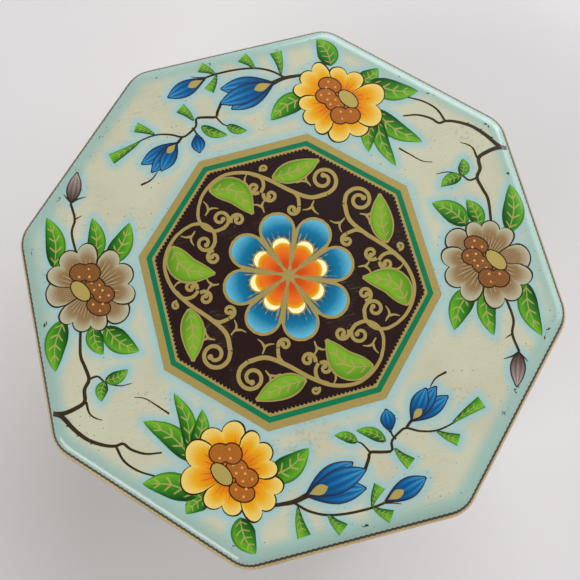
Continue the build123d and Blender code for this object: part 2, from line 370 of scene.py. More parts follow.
@dataclass(frozen=True)
class TinShape:
    """Sizes of the tin that the printing follows, in millimetres; its top and its width across the flats are
    read from the frame.
    """

    top: float
    flats: float
    corner_radius: float = 10.0
    shoulder: float = 5.2
    print_edge: float = math.radians(35.5)
    body_gap: float = 0.55
    side_low: float = 3.4
    side_high: float = 45.8

    @property
    def body_face(self) -> float:
        """Distance from the axis to the outside of the body."""
        return self.flats / 2 - self.body_gap

    @property
    def corner_centre(self) -> float:
        """Distance from the axis, square to a side, of the lines that the corners turn about."""
        return self.flats / 2 - self.corner_radius

    @property
    def half_run(self) -> float:
        """Half the straight stretch of a side."""
        return self.corner_centre * math.tan(SECTOR / 2)

    @property
    def crown(self) -> float:
        """Distance from the axis to where the flat crown ends."""
        return self.flats / 2 - self.shoulder

    @property
    def coat_edge(self) -> float:
        """Distance from the axis to where the cream print ends on the shoulder."""
        return self.crown + self.shoulder * math.sin(self.print_edge)

    @property
    def side_middle(self) -> float:
        """Height of the middle of the sides' print."""
        return (self.side_low + self.side_high) / 2

    @property
    def side_half(self) -> float:
        """Half the height of the sides' print."""
        return (self.side_high - self.side_low) / 2

    def fold(self, point: Vector) -> tuple[float, float]:
        """Octagonal distance of a point of the plan.

        Args:
            point: the point.

        Returns:
            Its distance from the axis, square to its side, and how far along it lies past a corner's
            centre, or 0.
        """
        turn = round(math.atan2(point.y, point.x) / SECTOR) * SECTOR
        square = point.x * math.cos(turn) + point.y * math.sin(turn)
        along = abs(point.y * math.cos(turn) - point.x * math.sin(turn)) - self.half_run
        if square > self.corner_centre and along > 0:
            return self.corner_centre + math.hypot(square - self.corner_centre, along), along
        return square, 0.0

    def height(self, point: Vector) -> float:
        """Height of the lid's surface above a point of the plan."""
        past = clamp(self.fold(point)[0] - self.crown, 0.0, self.shoulder)
        return self.top - self.shoulder + math.sqrt(self.shoulder ** 2 - past ** 2)


def read_tin() -> TinShape:
    """The tin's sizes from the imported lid, without its curl."""
    _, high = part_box("lid_shell")
    return TinShape(top=high.z / MM, flats=2 * (high.x / MM - CURL_REACH))


TIN = read_tin()


# ---------------------------------------------------------------- finishes


METALLIC = 0.92
PRINT_ROUGHNESS = 0.36
TOOTH_PITCH = 1.34
INK_COAT = {"Coat_Weight": 0.35, "Coat_Roughness": 0.08}
GROUND_COAT = {"Coat_Weight": 0.45, "Coat_Roughness": 0.08}


def octagon_signals(sheet: NodeSheet) -> tuple[Signal, Signal, Signal, Signal]:
    """Octagonal coordinates of a point on the tin.

    Args:
        sheet: the finish's node tree.

    Returns:
        The distance from the axis in millimetres (at least the corner centre's), the length along half
        a side from its middle, the height in millimetres, and how far the surface faces outwards.
    """
    never_zero = 0.001
    x, y, z = sheet.split(sheet.place())
    turn = sheet.maths("ROUND", sheet.maths("ARCTAN2", y, x) / SECTOR) * SECTOR
    cosine = sheet.maths("COSINE", turn)
    sine = sheet.maths("SINE", turn)
    square = (x * cosine + y * sine) / MM
    beside = abs(y * cosine - x * sine) / MM
    past_side = sheet.maths("MAXIMUM", square - TIN.corner_centre, 0.0)
    past_run = sheet.maths("MAXIMUM", beside - TIN.half_run, 0.0)
    distance = sheet.maths("SQRT", past_side * past_side + past_run * past_run) + TIN.corner_centre
    arc = sheet.maths("ARCTAN2", past_run, past_side + never_zero) * TIN.corner_radius
    along = sheet.maths("MINIMUM", beside, TIN.half_run) + arc
    nx, ny, nz = sheet.normal()
    outwards = nx * cosine + ny * sine + nz
    return distance, along, z / MM, outwards


def teeth(sheet: NodeSheet, along: Signal, pitch: float) -> Signal:
    """Row of small rounded teeth along the sides.

    Args:
        sheet: the finish's node tree.
        along: length along half a side from its middle.
        pitch: distance from tooth to tooth.

    Returns:
        A wave that goes from 0 between teeth to 1 on one.
    """
    quarter = TIN.half_run + TIN.corner_radius * SECTOR / 2
    count = round(quarter / pitch) + 0.5
    wave = sheet.maths("COSINE", along * (2 * math.pi * count / quarter))
    return wave * 0.5 + 0.5


def gold_lacquer(sheet: NodeSheet, deep: float = 0.5) -> tuple[Signal, Signal]:
    """Colour and roughness of gold-lacquered tinplate.

    Args:
        sheet: the finish's node tree.
        deep: how much of the deeper gold clouds the surface.

    Returns:
        The colour and the roughness.
    """
    cloud = sheet.noise(9, 4)
    grain = sheet.noise(0.35, 2)
    colour = sheet.blend(Paint.GOLD, Paint.GOLD_DEEP, sheet.step(0.35, 0.75, cloud) * deep)
    colour = sheet.blend(colour, Paint.RUST, sheet.specks(1.7, 0.34) * 0.7)
    return colour, 0.17 + cloud * 0.1 + grain * 0.08


def cream_print(sheet: NodeSheet, edge_fade: Signal) -> Signal:
    """Cream ground of the print with its airbrushed blue and its wear.

    Args:
        sheet: the finish's node tree.
        edge_fade: 1 where the ground has turned to pale blue.

    Returns:
        The colour.
    """
    halo = sheet.add("ShaderNodeAttribute", {"attribute_name": "halo"}, output="Fac")
    mottle = sheet.noise(14, 4)
    spray = sheet.noise(0.28, 2)
    colour = sheet.blend(Paint.CREAM, Paint.CREAM_SHADE, sheet.step(0.4, 0.72, mottle))
    soft = sheet.step(0.0, 1.0, halo + (spray - 0.5) * 0.2 * sheet.step(0.02, 0.3, halo))
    colour = sheet.blend(colour, Paint.SKY, soft * 0.66)
    colour = sheet.blend(colour, Paint.PALE_BLUE, edge_fade)
    colour = sheet.blend(colour, Paint.SPECK, sheet.specks(1.1, 0.40) * 0.55)
    colour = sheet.blend(colour, Paint.FINE_SPECK, sheet.specks(0.55, 0.44) * 0.5)
    colour = sheet.blend(colour, Paint.SCRATCH, sheet.scratches(7, 0.5, 0.5) * 0.6)
    colour = sheet.blend(colour, Paint.NICK, sheet.pinholes(1.5, 0.5) * 0.8)
    scuff = sheet.step(0.63, 0.72, sheet.noise(16, 2)) * sheet.step(0.52, 0.6, sheet.noise(1.2, 4))
    return sheet.blend(colour, Paint.SCUFF, scuff * 0.35)


def mixed_roughness(sheet: NodeSheet, metal: Signal, bare: Signal) -> Signal:
    """Roughness that goes from the print's to the bare metal's."""
    return sheet.maths("MULTIPLY_ADD", metal, bare - PRINT_ROUGHNESS, PRINT_ROUGHNESS)


def side_margin(height: Signal) -> Signal:
    """Distance on the sides from the nearer edge of their print."""
    return TIN.side_half - abs(height - TIN.side_middle)


@dataclass(frozen=True)
class LidPrint:
    """Printed tinplate of the lid: cream crown, pale-blue shoulder, toothed line and gold skirt."""

    fade_start: float = 2.6
    fade_end: float = 0.9
    tooth_height: float = 0.18
    line: float = 0.75
    soft_edge: float = 0.05

    def material(self) -> Material:
        """Build the finish."""
        sheet = NodeSheet("lid_print")
        distance, along, _, outwards = octagon_signals(sheet)
        wander = (sheet.noise(3, 3) - 0.5) * 0.9
        fade = sheet.step(TIN.crown - self.fade_start, TIN.crown + self.fade_end, distance + wander) * 0.92
        cream = cream_print(sheet, fade)
        edge = distance + teeth(sheet, along, TOOTH_PITCH) * self.tooth_height
        gold, gold_roughness = gold_lacquer(sheet)
        line_end = TIN.coat_edge + self.line
        past_line = sheet.step(line_end - self.soft_edge, line_end + self.soft_edge, edge)
        in_line = sheet.step(TIN.coat_edge - self.soft_edge, TIN.coat_edge + self.soft_edge, edge)
        printed = sheet.blend(cream, Paint.RIM_DARK, in_line)
        outside = sheet.step(-0.02, 0.02, outwards)
        metal = sheet.maths("MAXIMUM", past_line, 1 - outside)
        return sheet.surface(sheet.blend(printed, gold, metal), Metallic=metal * METALLIC,
                             Roughness=mixed_roughness(sheet, metal, gold_roughness),
                             Normal=sheet.bump(sheet.noise(0.8, 2), 0.004, 0.5), **GROUND_COAT)


@dataclass(frozen=True)
class FlatInk:
    """Even ink with a fine spray and worn specks."""

    name: str
    paint: Paint
    second: Optional[Paint] = None
    metallic: float = 0.0
    roughness: float = PRINT_ROUGHNESS

    def material(self) -> Material:
        """Build the finish."""
        sheet = NodeSheet(self.name)
        grain = sheet.noise(0.3, 3)
        base = sheet.blend(self.paint, self.second or self.paint, sheet.step(0.38, 0.66, grain))
        colour = sheet.blend(base, Paint.INK_SCRATCH, sheet.scratches(7, 0.5, 0.42) * 0.16)
        colour = sheet.blend(colour, Paint.FINE_SPECK, sheet.specks(0.55, 0.44) * 0.35)
        return sheet.surface(colour, Metallic=self.metallic, Roughness=self.roughness + grain * 0.08,
                             Normal=sheet.bump(grain, 0.003, 0.4), **INK_COAT)


@dataclass(frozen=True)
class PatchInk:
    """Ink shaded over the piece's own patch, which runs from its base at 0 to its tip or edge at 1."""

    name: str

    def material(self) -> Material:
        """Build the finish."""
        sheet = NodeSheet(self.name)
        across, along = sheet.patch()
        grain = sheet.noise(0.25, 3) - 0.5
        return sheet.surface(self.colour(sheet, across, along, grain),
                             Roughness=PRINT_ROUGHNESS + grain * 0.06, **INK_COAT)

    def colour(self, sheet: NodeSheet, across: Signal, along: Signal, grain: Signal) -> Signal:
        """Colour of the ink, which each kind of ink draws in its own way.

        Args:
            sheet: the finish's node tree.
            across: place across the patch, from -1 to 1.
            along: place along it, from 0 to 1.
            grain: fine noise about 0.

        Returns:
            The colour.
        """
        raise NotImplementedError


@dataclass(frozen=True)
class LeafInk(PatchInk):
    """Leaf shaded from base to tip, with a midrib and side veins."""

    dark: Paint
    middle: Paint
    light: Paint
    vein: Paint
    veins: float = 5.0
    lean: float = 0.85

    def colour(self, sheet: NodeSheet, across: Signal, along: Signal, grain: Signal) -> Signal:
        """Leaf green with its darker edge and its veins."""
        out = abs(across)
        tone = along * 0.6 + across * 0.34 + grain * 0.22 + 0.14
        colour = sheet.ramp(tone, (0.0, self.dark), (0.42, self.middle), (0.95, self.light))
        colour = sheet.blend(colour, self.dark, sheet.step(0.72, 1.0, out) * 0.75)
        rib = sheet.step(0.075, 0.035, out) * sheet.step(0.9, 0.8, along)
        wave = sheet.maths("FRACT", along * self.veins - out * self.lean)
        reach = sheet.step(0.66, 0.5, out) * sheet.step(0.86, 0.78, along)
        side = sheet.step(0.13, 0.06, abs(wave - 0.5)) * reach
        vein = sheet.maths("MAXIMUM", rib, side * sheet.step(0.06, 0.12, along))
        return sheet.blend(colour, self.vein, vein * 0.85)


@dataclass(frozen=True)
class PetalInk(PatchInk):
    """Petal shaded outwards from the flower's middle, with fine lines that fan out."""

    base: Paint
    middle: Paint
    rim: Paint
    line: Paint
    lines: float = 7.0
    line_start: float = 0.3
    line_end: float = 0.9
    thick: float = 0.16

    def colour(self, sheet: NodeSheet, across: Signal, along: Signal, grain: Signal) -> Signal:
        """Petal tone with its lines."""
        tone = along + across * across * 0.06 + grain * 0.16
        colour = sheet.ramp(tone, (0.45, self.base), (0.76, self.middle), (0.98, self.rim))
        wave = abs(sheet.maths("FRACT", across * (self.lines / 2) + 0.5) - 0.5)
        reach = self.line_end - sheet.noise(1.4, 1) * 0.35
        width = sheet.step(0.0, 0.3, reach - along) * self.thick
        started = sheet.step(self.line_start - 0.05, self.line_start, along)
        return sheet.blend(colour, self.line, sheet.maths("LESS_THAN", wave, width) * started * 0.75)


@dataclass(frozen=True)
class RibbedInk(PatchInk):
    """Bud petal with long pale streaks from base to tip."""

    dark: Paint
    middle: Paint
    light: Paint

    def colour(self, sheet: NodeSheet, across: Signal, along: Signal, grain: Signal) -> Signal:
        """Bud tone with its streaks."""
        streak = sheet.maths("COSINE", across * 9.0) * 0.5 + 0.5
        tone = along * 0.42 + streak * 0.42 * along + grain * 0.2 + 0.05 - abs(across) * 0.1
        return sheet.ramp(tone, (0.02, self.dark), (0.4, self.middle), (0.85, self.light))


@dataclass(frozen=True)
class BandedInk(PatchInk):
    """Small rosette petal in crisp bands from flame to butter yellow, which follow its round end."""

    def colour(self, sheet: NodeSheet, across: Signal, along: Signal, grain: Signal) -> Signal:
        """Bands of colour."""
        tone = along + across * across * 0.1 + grain * 0.05
        return sheet.ramp(tone, (0.3, Paint.FLAME), (0.68, Paint.FLAME_LIGHT), (0.72, Paint.ORANGE),
                          (0.84, Paint.YELLOW), (0.88, Paint.BUTTER))


@dataclass(frozen=True)
class SidePrint:
    """Printed tinplate of the body: lacquered seam and neck, banded borders and a cream ground."""

    green_band: float = 1.3
    gold_line: float = 1.9
    dark_line: float = 2.36
    tooth_height: float = 0.34
    sharp: float = 0.04

    def material(self) -> Material:
        """Build the finish."""
        sheet = NodeSheet("side_print")
        _, along, height, outwards = octagon_signals(sheet)
        margin = side_margin(height)
        gold, gold_roughness = gold_lacquer(sheet)
        fade = sheet.step(4.6, self.gold_line, margin + (sheet.noise(3, 3) - 0.5) * 0.8) * 0.9
        toothed = margin - teeth(sheet, along, TOOTH_PITCH) * self.tooth_height
        in_dark = sheet.step(self.dark_line, self.dark_line - 2 * self.sharp, toothed)
        in_gold = sheet.step(self.gold_line, self.gold_line - self.sharp, margin)
        in_green = sheet.step(self.green_band, self.green_band - self.sharp, margin)
        printed = sheet.step(0.0, self.sharp, margin)
        outside = sheet.step(-0.02, 0.02, outwards)
        colour = sheet.blend(cream_print(sheet, fade), Paint.RIM_DARK, in_dark)
        colour = sheet.blend(colour, Paint.EMERALD, in_green)
        metal = sheet.maths("MAXIMUM", in_gold - in_green, 1 - printed * outside)
        return sheet.surface(sheet.blend(colour, gold, metal), Metallic=metal * METALLIC,
                             Roughness=mixed_roughness(sheet, metal, gold_roughness),
                             Coat_Weight=0.2, Coat_Roughness=0.1)


@dataclass(frozen=True)
class Tinplate:
    """Lacquered or bare tinplate, handled and a little spotted, with or without a dusting of talc."""

    name: str
    deep: float = 0.5
    dust: float = 0.0

    def material(self) -> Material:
        """Build the finish."""
        sheet = NodeSheet(self.name)
        colour, roughness = gold_lacquer(sheet, self.deep)
        marks = sheet.maths("MAXIMUM", sheet.scratches(16, 0.4, 0.5), sheet.scratches(9, 1.9, 0.45))
        colour = sheet.blend(colour, Paint.TIN, marks * 0.7)
        settled = sheet.step(0.3, 0.8, sheet.normal()[2])
        drift = sheet.step(0.38, 0.72, sheet.noise(17, 5))
        speck = sheet.step(0.4, 0.66, sheet.noise(0.45, 3))
        powder = (drift * 0.45 + speck * drift * 0.5 + speck * 0.12) * settled * self.dust
        colour = sheet.blend(colour, Paint.TALC, powder)
        return sheet.surface(colour, Metallic=(1 - powder) * METALLIC, Roughness=roughness + powder * 0.5,
                             Normal=sheet.bump(sheet.noise(0.7, 2), 0.01, 0.5))


@dataclass(frozen=True)
class CreamCoat:
    """The cream ground alone, for the thin coats that carry the airbrushed halos."""

    fade_start: float = 2.8
    fade_end: float = 0.8
    lid_from: float = 55.0

    def material(self) -> Material:
        """Build the finish."""
        sheet = NodeSheet("cream_coat")
        distance, _, height, _ = octagon_signals(sheet)
        flat = sheet.step(0.4, 0.6, sheet.normal()[2])
        wander = (sheet.noise(3, 3) - 0.5) * 0.9
        past_crown = distance - TIN.crown
        lid_fade = sheet.step(-self.fade_start, self.fade_end, past_crown + wander) * 0.92
        side_fade = sheet.step(4.6, 1.9, side_margin(height) + wander) * 0.9
        on_top = sheet.step(self.lid_from, self.lid_from + 1, height)
        fade = side_fade + (lid_fade - side_fade) * on_top
        rubbed = sheet.step(0.55, 0.5, abs(past_crown - 0.3)) * sheet.step(0.63, 0.66, sheet.noise(5, 2))
        worn = rubbed * flat * sheet.step(0.5, 0.56, sheet.noise(0.7, 2))
        colour = sheet.blend(cream_print(sheet, fade), Paint.OUTLINE, worn)
        return sheet.surface(colour, Roughness=0.42, Normal=sheet.bump(sheet.noise(0.8, 2), 0.004, 0.5),
                             **GROUND_COAT)


# ---------------------------------------------------------------- drawing with ink


COAT_FILM = 0.02
COAT_ROOM = 0.004
SIDE_PITCH = 100.0
OUTLINE_FILM = 0.002
PETAL_FILM = 0.004
FLOWER_RANK = 4
FILM_RANK = {"twigs": 1, "leaves": 3, "medallion_gold": 1, "medallion_green": 2, "medallion_ground": 2,
             "vines": 3, "leaf_edges": 4, "lime_leaves": 5, "rosette_edges": 6, "rosette_petals": 7,
             "rosette_rims": 8, "rosette_inner_petals": 9, "rosette_eye": 10}


def stand_up(name: str, data: bpy.types.ID) -> Object:
    """Object of this data, put in the scene."""
    thing = bpy.data.objects.new(name, data)
    bpy.context.scene.collection.objects.link(thing)
    return thing


def close_film(bm: BMesh) -> set[BMVert]:
    """Close flat patches into films by extruding them, and give the points of the upper side."""
    made = bmesh.ops.extrude_face_region(bm, geom=list(bm.faces))
    return {item for item in made["geom"] if isinstance(item, BMVert)}


def octagon_plan(edge: float, step: float) -> BMesh:
    """Flat mesh in the outline of the tin, with its round corners.

    Args:
        edge: distance from the axis to its sides, in millimetres.
        step: size of its faces.

    Returns:
        The mesh.
    """
    bm = bmesh.new()
    count = round(2 * edge / step)
    bmesh.ops.create_grid(bm, x_segments=count, y_segments=count, size=edge)
    for k in range(SIDES):
        normal = Vector((math.cos(SECTOR * k), math.sin(SECTOR * k), 0))
        bmesh.ops.bisect_plane(bm, geom=bm.verts[:] + bm.edges[:] + bm.faces[:], plane_co=normal * edge,
                               plane_no=normal, clear_outer=True)
    for vert in bm.verts:
        distance, past = TIN.fold(vert.co)
        if past and distance > edge:
            vert.co *= 1 - (distance - edge) / vert.co.length
    return bm


class Spine:
    """Smooth open line through a few points of the plan, walked by its length."""

    def __init__(self, points: Sequence[Point], steps: int = 12) -> None:
        """Round the line through these points.

        Args:
            points: the points that the line passes through, in millimetres.
            steps: samples between one point and the next.
        """
        knots = [Vector(point).to_3d() for point in points]
        first = knots[0] * 2 - knots[1]
        last = knots[-1] * 2 - knots[-2]
        held = [first, *knots, last]
        self.samples = [knots[0]]
        for k in range(1, len(held) - 2):
            for step in range(1, steps + 1):
                self.samples.append(self._between(held[k - 1:k + 3], step / steps))
        self.lengths = [0.0]
        for before, after in zip(self.samples, self.samples[1:]):
            self.lengths.append(self.lengths[-1] + (after - before).length)

    @staticmethod
    def _between(four: Sequence[Vector], share: float) -> Vector:
        """Point on a rounded line through four points.

        Args:
            four: the points.
            share: how far it lies from the second to the third.

        Returns:
            The point.
        """
        a, b, c, d = four
        square, cube = share ** 2, share ** 3
        return 0.5 * (2 * b + (c - a) * share + (2 * a - 5 * b + 4 * c - d) * square
                      + (3 * b - 3 * c + d - a) * cube)

    @classmethod
    def spiral(cls, centre: Point, start: float, radii: tuple[float, float],
               turns: float) -> "Spine":
        """Spiral about a centre.

        Args:
            centre: its centre.
            start: the angle where it begins, in degrees.
            radii: its first and last radius.
            turns: how far it turns; less than 0 is clockwise.

        Returns:
            The spiral as a line.
        """
        count = max(4, round(abs(turns) * 10))
        points = []
        for k in range(count + 1):
            share = k / count
            radius = radii[0] * (radii[1] / radii[0]) ** share
            angle = math.radians(start) + 2 * math.pi * turns * share
            points.append((centre[0] + radius * math.cos(angle), centre[1] + radius * math.sin(angle)))
        return cls(points, 4)

    @property
    def length(self) -> float:
        """Length of the line."""
        return self.lengths[-1]

    def at(self, share: float) -> tuple[Vector, Vector]:
        """Place on the line.

        Args:
            share: share of the line's length, from 0 to 1.

        Returns:
            The point and the direction there.
        """
        goal = clamp(share) * self.length
        k = 1
        while k < len(self.lengths) - 1 and self.lengths[k] < goal:
            k += 1
        run = self.samples[k] - self.samples[k - 1]
        part = (goal - self.lengths[k - 1]) / max(run.length, 1e-9)
        return self.samples[k - 1] + run * part, run.normalized()


@dataclass
class Ink:
    """Everything printed in one ink, gathered in one mesh and laid on the tin at the end.

    Shapes of one ink that overlap lie a hair above each other.
    """

    HAIR: ClassVar[float] = 0.0007
    CYCLE: ClassVar[int] = 13
    FILM: ClassVar[float] = 0.006
    name: str
    level: float
    bm: BMesh = field(default_factory=bmesh.new)
    lift: float = 0.0
    shapes: int = 0

    def __post_init__(self) -> None:
        """Give the mesh its patch coordinates."""
        self.bm.loops.layers.uv.new("UVMap")

    def grid(self, across: int, along: int, where: Callable[[float, float], Vector]) -> None:
        """Add one patch.

        Args:
            across: faces across the patch.
            along: faces along it.
            where: the plan point for a place across (-1 to 1) and along (0 to 1).
        """
        made = bmesh.ops.create_grid(self.bm, x_segments=across, y_segments=along, size=1, calc_uvs=True)
        height = self.level + self.lift + self.HAIR * (self.shapes % self.CYCLE)
        self.shapes += 1
        for vert in made["verts"]:
            point = where(vert.co.x, (vert.co.y + 1) / 2)
            vert.co = Vector((point.x, point.y, height))
        bmesh.ops.remove_doubles(self.bm, verts=made["verts"], dist=0.004)

    def blade(self, spine: Spine, width: Outline, place: Matrix, across: int = 2,
              along: int = 12, grow: float = 0.0) -> None:
        """Add a leaf, stem or petal along a spine.

        Args:
            spine: its middle line.
            width: half its width at a share of its length.
            place: where the motif stands on the plan.
            across: faces across.
            along: faces along.
            grow: how far it spreads past its own edge, for an outline under it.
        """
        extra = grow / spine.length

        def where(side: float, share: float) -> Vector:
            """Plan point beside the spine."""
            reach = share * (1 + 2 * extra) - extra
            point, heading = spine.at(reach)
            point = point + heading * ((reach - clamp(reach)) * spine.length)
            half = width(clamp(reach)) + grow
            return place @ (point + Vector((heading.y, -heading.x, 0)) * (side * half))

        self.grid(across, along, where)

    def fan(self, radius: Outline, place: Matrix, sweep: float = 2 * math.pi,
            across: int = 20, along: int = 4, grow: float = 0.0, inner: float = 0.0) -> None:
        """Add a round patch about the motif's origin, opening about its +Y direction.

        Args:
            radius: distance to the edge at a place across, from -1 to 1.
            place: where the motif stands on the plan.
            sweep: the angle that it opens over.
            across: faces round it.
            along: faces from its middle to its edge.
            grow: how far it spreads past its own edge.
            inner: share of the radius that is left open in the middle.
        """
        def where(side: float, share: float) -> Vector:
            """Plan point at a share of the way from the middle to the edge."""
            angle = math.pi / 2 - side * sweep / 2
            reach = (radius(side) + grow) * (inner + (1 - inner) * share)
            return place @ Vector((reach * math.cos(angle), reach * math.sin(angle), 0))

        self.grid(across, along, where)

    def lay(self, lay_on: Place, material: Material, body: str) -> Object:
        """Lay the ink on the tin as a closed film.

        Args:
            lay_on: turns a plan point and a height over the surface into a place on the tin.
            material: the ink's finish.
            body: the body it rides on.

        Returns:
            The finished piece.
        """
        raised = close_film(self.bm)
        for vert in self.bm.verts:
            over = vert.co.z + (self.FILM if vert in raised else 0.0)
            vert.co = lay_on(Vector((vert.co.x, vert.co.y, 0)), over) * MM
        bmesh.ops.recalc_face_normals(self.bm, faces=self.bm.faces)
        return finish_piece(self.bm, self.name, material, body)


def dress(piece: Object, material: Material, body: str) -> Object:
    """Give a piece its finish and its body.

    Args:
        piece: the object.
        material: its finish.
        body: the body it rides on.

    Returns:
        The object.
    """
    piece.data.materials.clear()
    piece.data.materials.append(material)
    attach(piece, body)
    LOG.info("%s: %d faces", piece.name, len(piece.data.polygons))
    return piece


def finish_piece(bm: BMesh, name: str, material: Material, body: str,
                 smooth: bool = False) -> Object:
    """Turn a bmesh into a finished piece at the origin.

    Args:
        bm: the mesh, in metres, which is freed.
        name: the piece's name.
        material: its finish.
        body: the body it rides on.
        smooth: whether its faces are shaded smooth.

    Returns:
        The object.
    """
    mesh = bpy.data.meshes.new(name)
    for face in bm.faces:
        face.smooth = smooth
    bm.to_mesh(mesh)
    bm.free()
    return dress(stand_up(name, mesh), material, body)


def on_lid(point: Vector, over: float) -> Vector:
    """Place on the lid above a point of the plan."""
    return Vector((point.x, point.y, TIN.height(point) + COAT_FILM + over))


def on_side(point: Vector, over: float) -> Vector:
    """Place on the body's sides.

    Args:
        point: a point of the sides' long plan.
        over: height over the surface.

    Returns:
        The place.
    """
    k = round(point.x / SIDE_PITCH)
    across = point.x - k * SIDE_PITCH
    turn = Matrix.Rotation(SECTOR * k, 3, "Z")
    past = max(abs(across) - TIN.half_run, 0.0) / (TIN.body_face - TIN.corner_centre)
    reach = TIN.body_face - TIN.corner_centre + COAT_FILM + over
    beside = min(abs(across), TIN.half_run) + reach * math.sin(past)
    return turn @ Vector((TIN.corner_centre + reach * math.cos(past), math.copysign(beside, across), point.y))


def spot(x: float, y: float, turn: float = 0.0, scale: float = 1.0) -> Matrix:
    """Placement of a motif: position in millimetres, turn in degrees and scale."""
    return (Matrix.Translation((x, y, 0)) @ Matrix.Rotation(math.radians(turn), 4, "Z")
            @ Matrix.Scale(scale, 4))


class Palette:
    """The inks of one printed surface, from the lowest film to the highest."""

    STEP = 0.013

    def __init__(self, prefix: str) -> None:
        """Set out the inks.

        Args:
            prefix: first word of the pieces' names.
        """
        self.prefix = prefix
        self.inks: dict[str, Ink] = {}
        self.halo_points: list[Vector] = []

    def ink(self, name: str) -> Ink:
        """The ink of this name, at its rank above the ground."""
        if name not in self.inks:
            self.inks[name] = Ink(f"{self.prefix}_{name}", FILM_RANK.get(name, FLOWER_RANK) * self.STEP)
        return self.inks[name]

    def note_halos(self) -> None:
        """Remember every point printed so far as what the airbrushed halo surrounds."""
        for name, ink in self.inks.items():
            if name != "twigs":
                self.halo_points += [vert.co.copy() for vert in ink.bm.verts]


def leaf_width(half: float, belly: float = 0.42) -> Outline:
    """Outline of a pointed leaf.

    Args:
        half: its greatest half width.
        belly: share of its length where it is widest.

    Returns:
        Its half width at a share of its length.
    """
    power = math.log(0.5) / math.log(belly)

    def width(share: float) -> float:
        """Half width at a share of the length."""
        return half * math.sin(math.pi * clamp(share) ** power) ** 0.82

    return width


def taper(start: float, end: float) -> Outline:
    """Half width that goes evenly from start to end."""
    return lambda share: start + (end - start) * share


@dataclass(frozen=True)
class Lobing:
    """One petal of a blossom: its direction in degrees, reach in millimetres, spread and scallops."""

    way: float
    reach: float
    spread: float
    scallops: int


GOLDEN_PETALS = (Lobing(-32, 10.6, 1.35, 2), Lobing(37, 13.6, 1.2, 3), Lobing(-177, 12.8, 1.25, 2),
                 Lobing(-112, 13.6, 1.4, 2), Lobing(108, 11.6, 1.5, 3))
TAUPE_PETALS = (Lobing(37, 12.9, 0.75, 1), Lobing(-96, 12.4, 0.85, 1), Lobing(-25, 11.9, 1.5, 3),
                Lobing(102, 12.4, 1.85, 3), Lobing(-155, 13.2, 1.6, 3))
SEED_LOBES = ((0, -1.2, 5.3, 3.3, 2.3, -34), (1, -3.2, 2.3, 2.9, 2.3, -20), (1, -1.3, -0.6, 2.8, 2.3, -40),
              (2, -0.9, -4.6, 2.4, 2.6, 20), (2, 2.3, -5.4, 2.6, 2.4, -10))


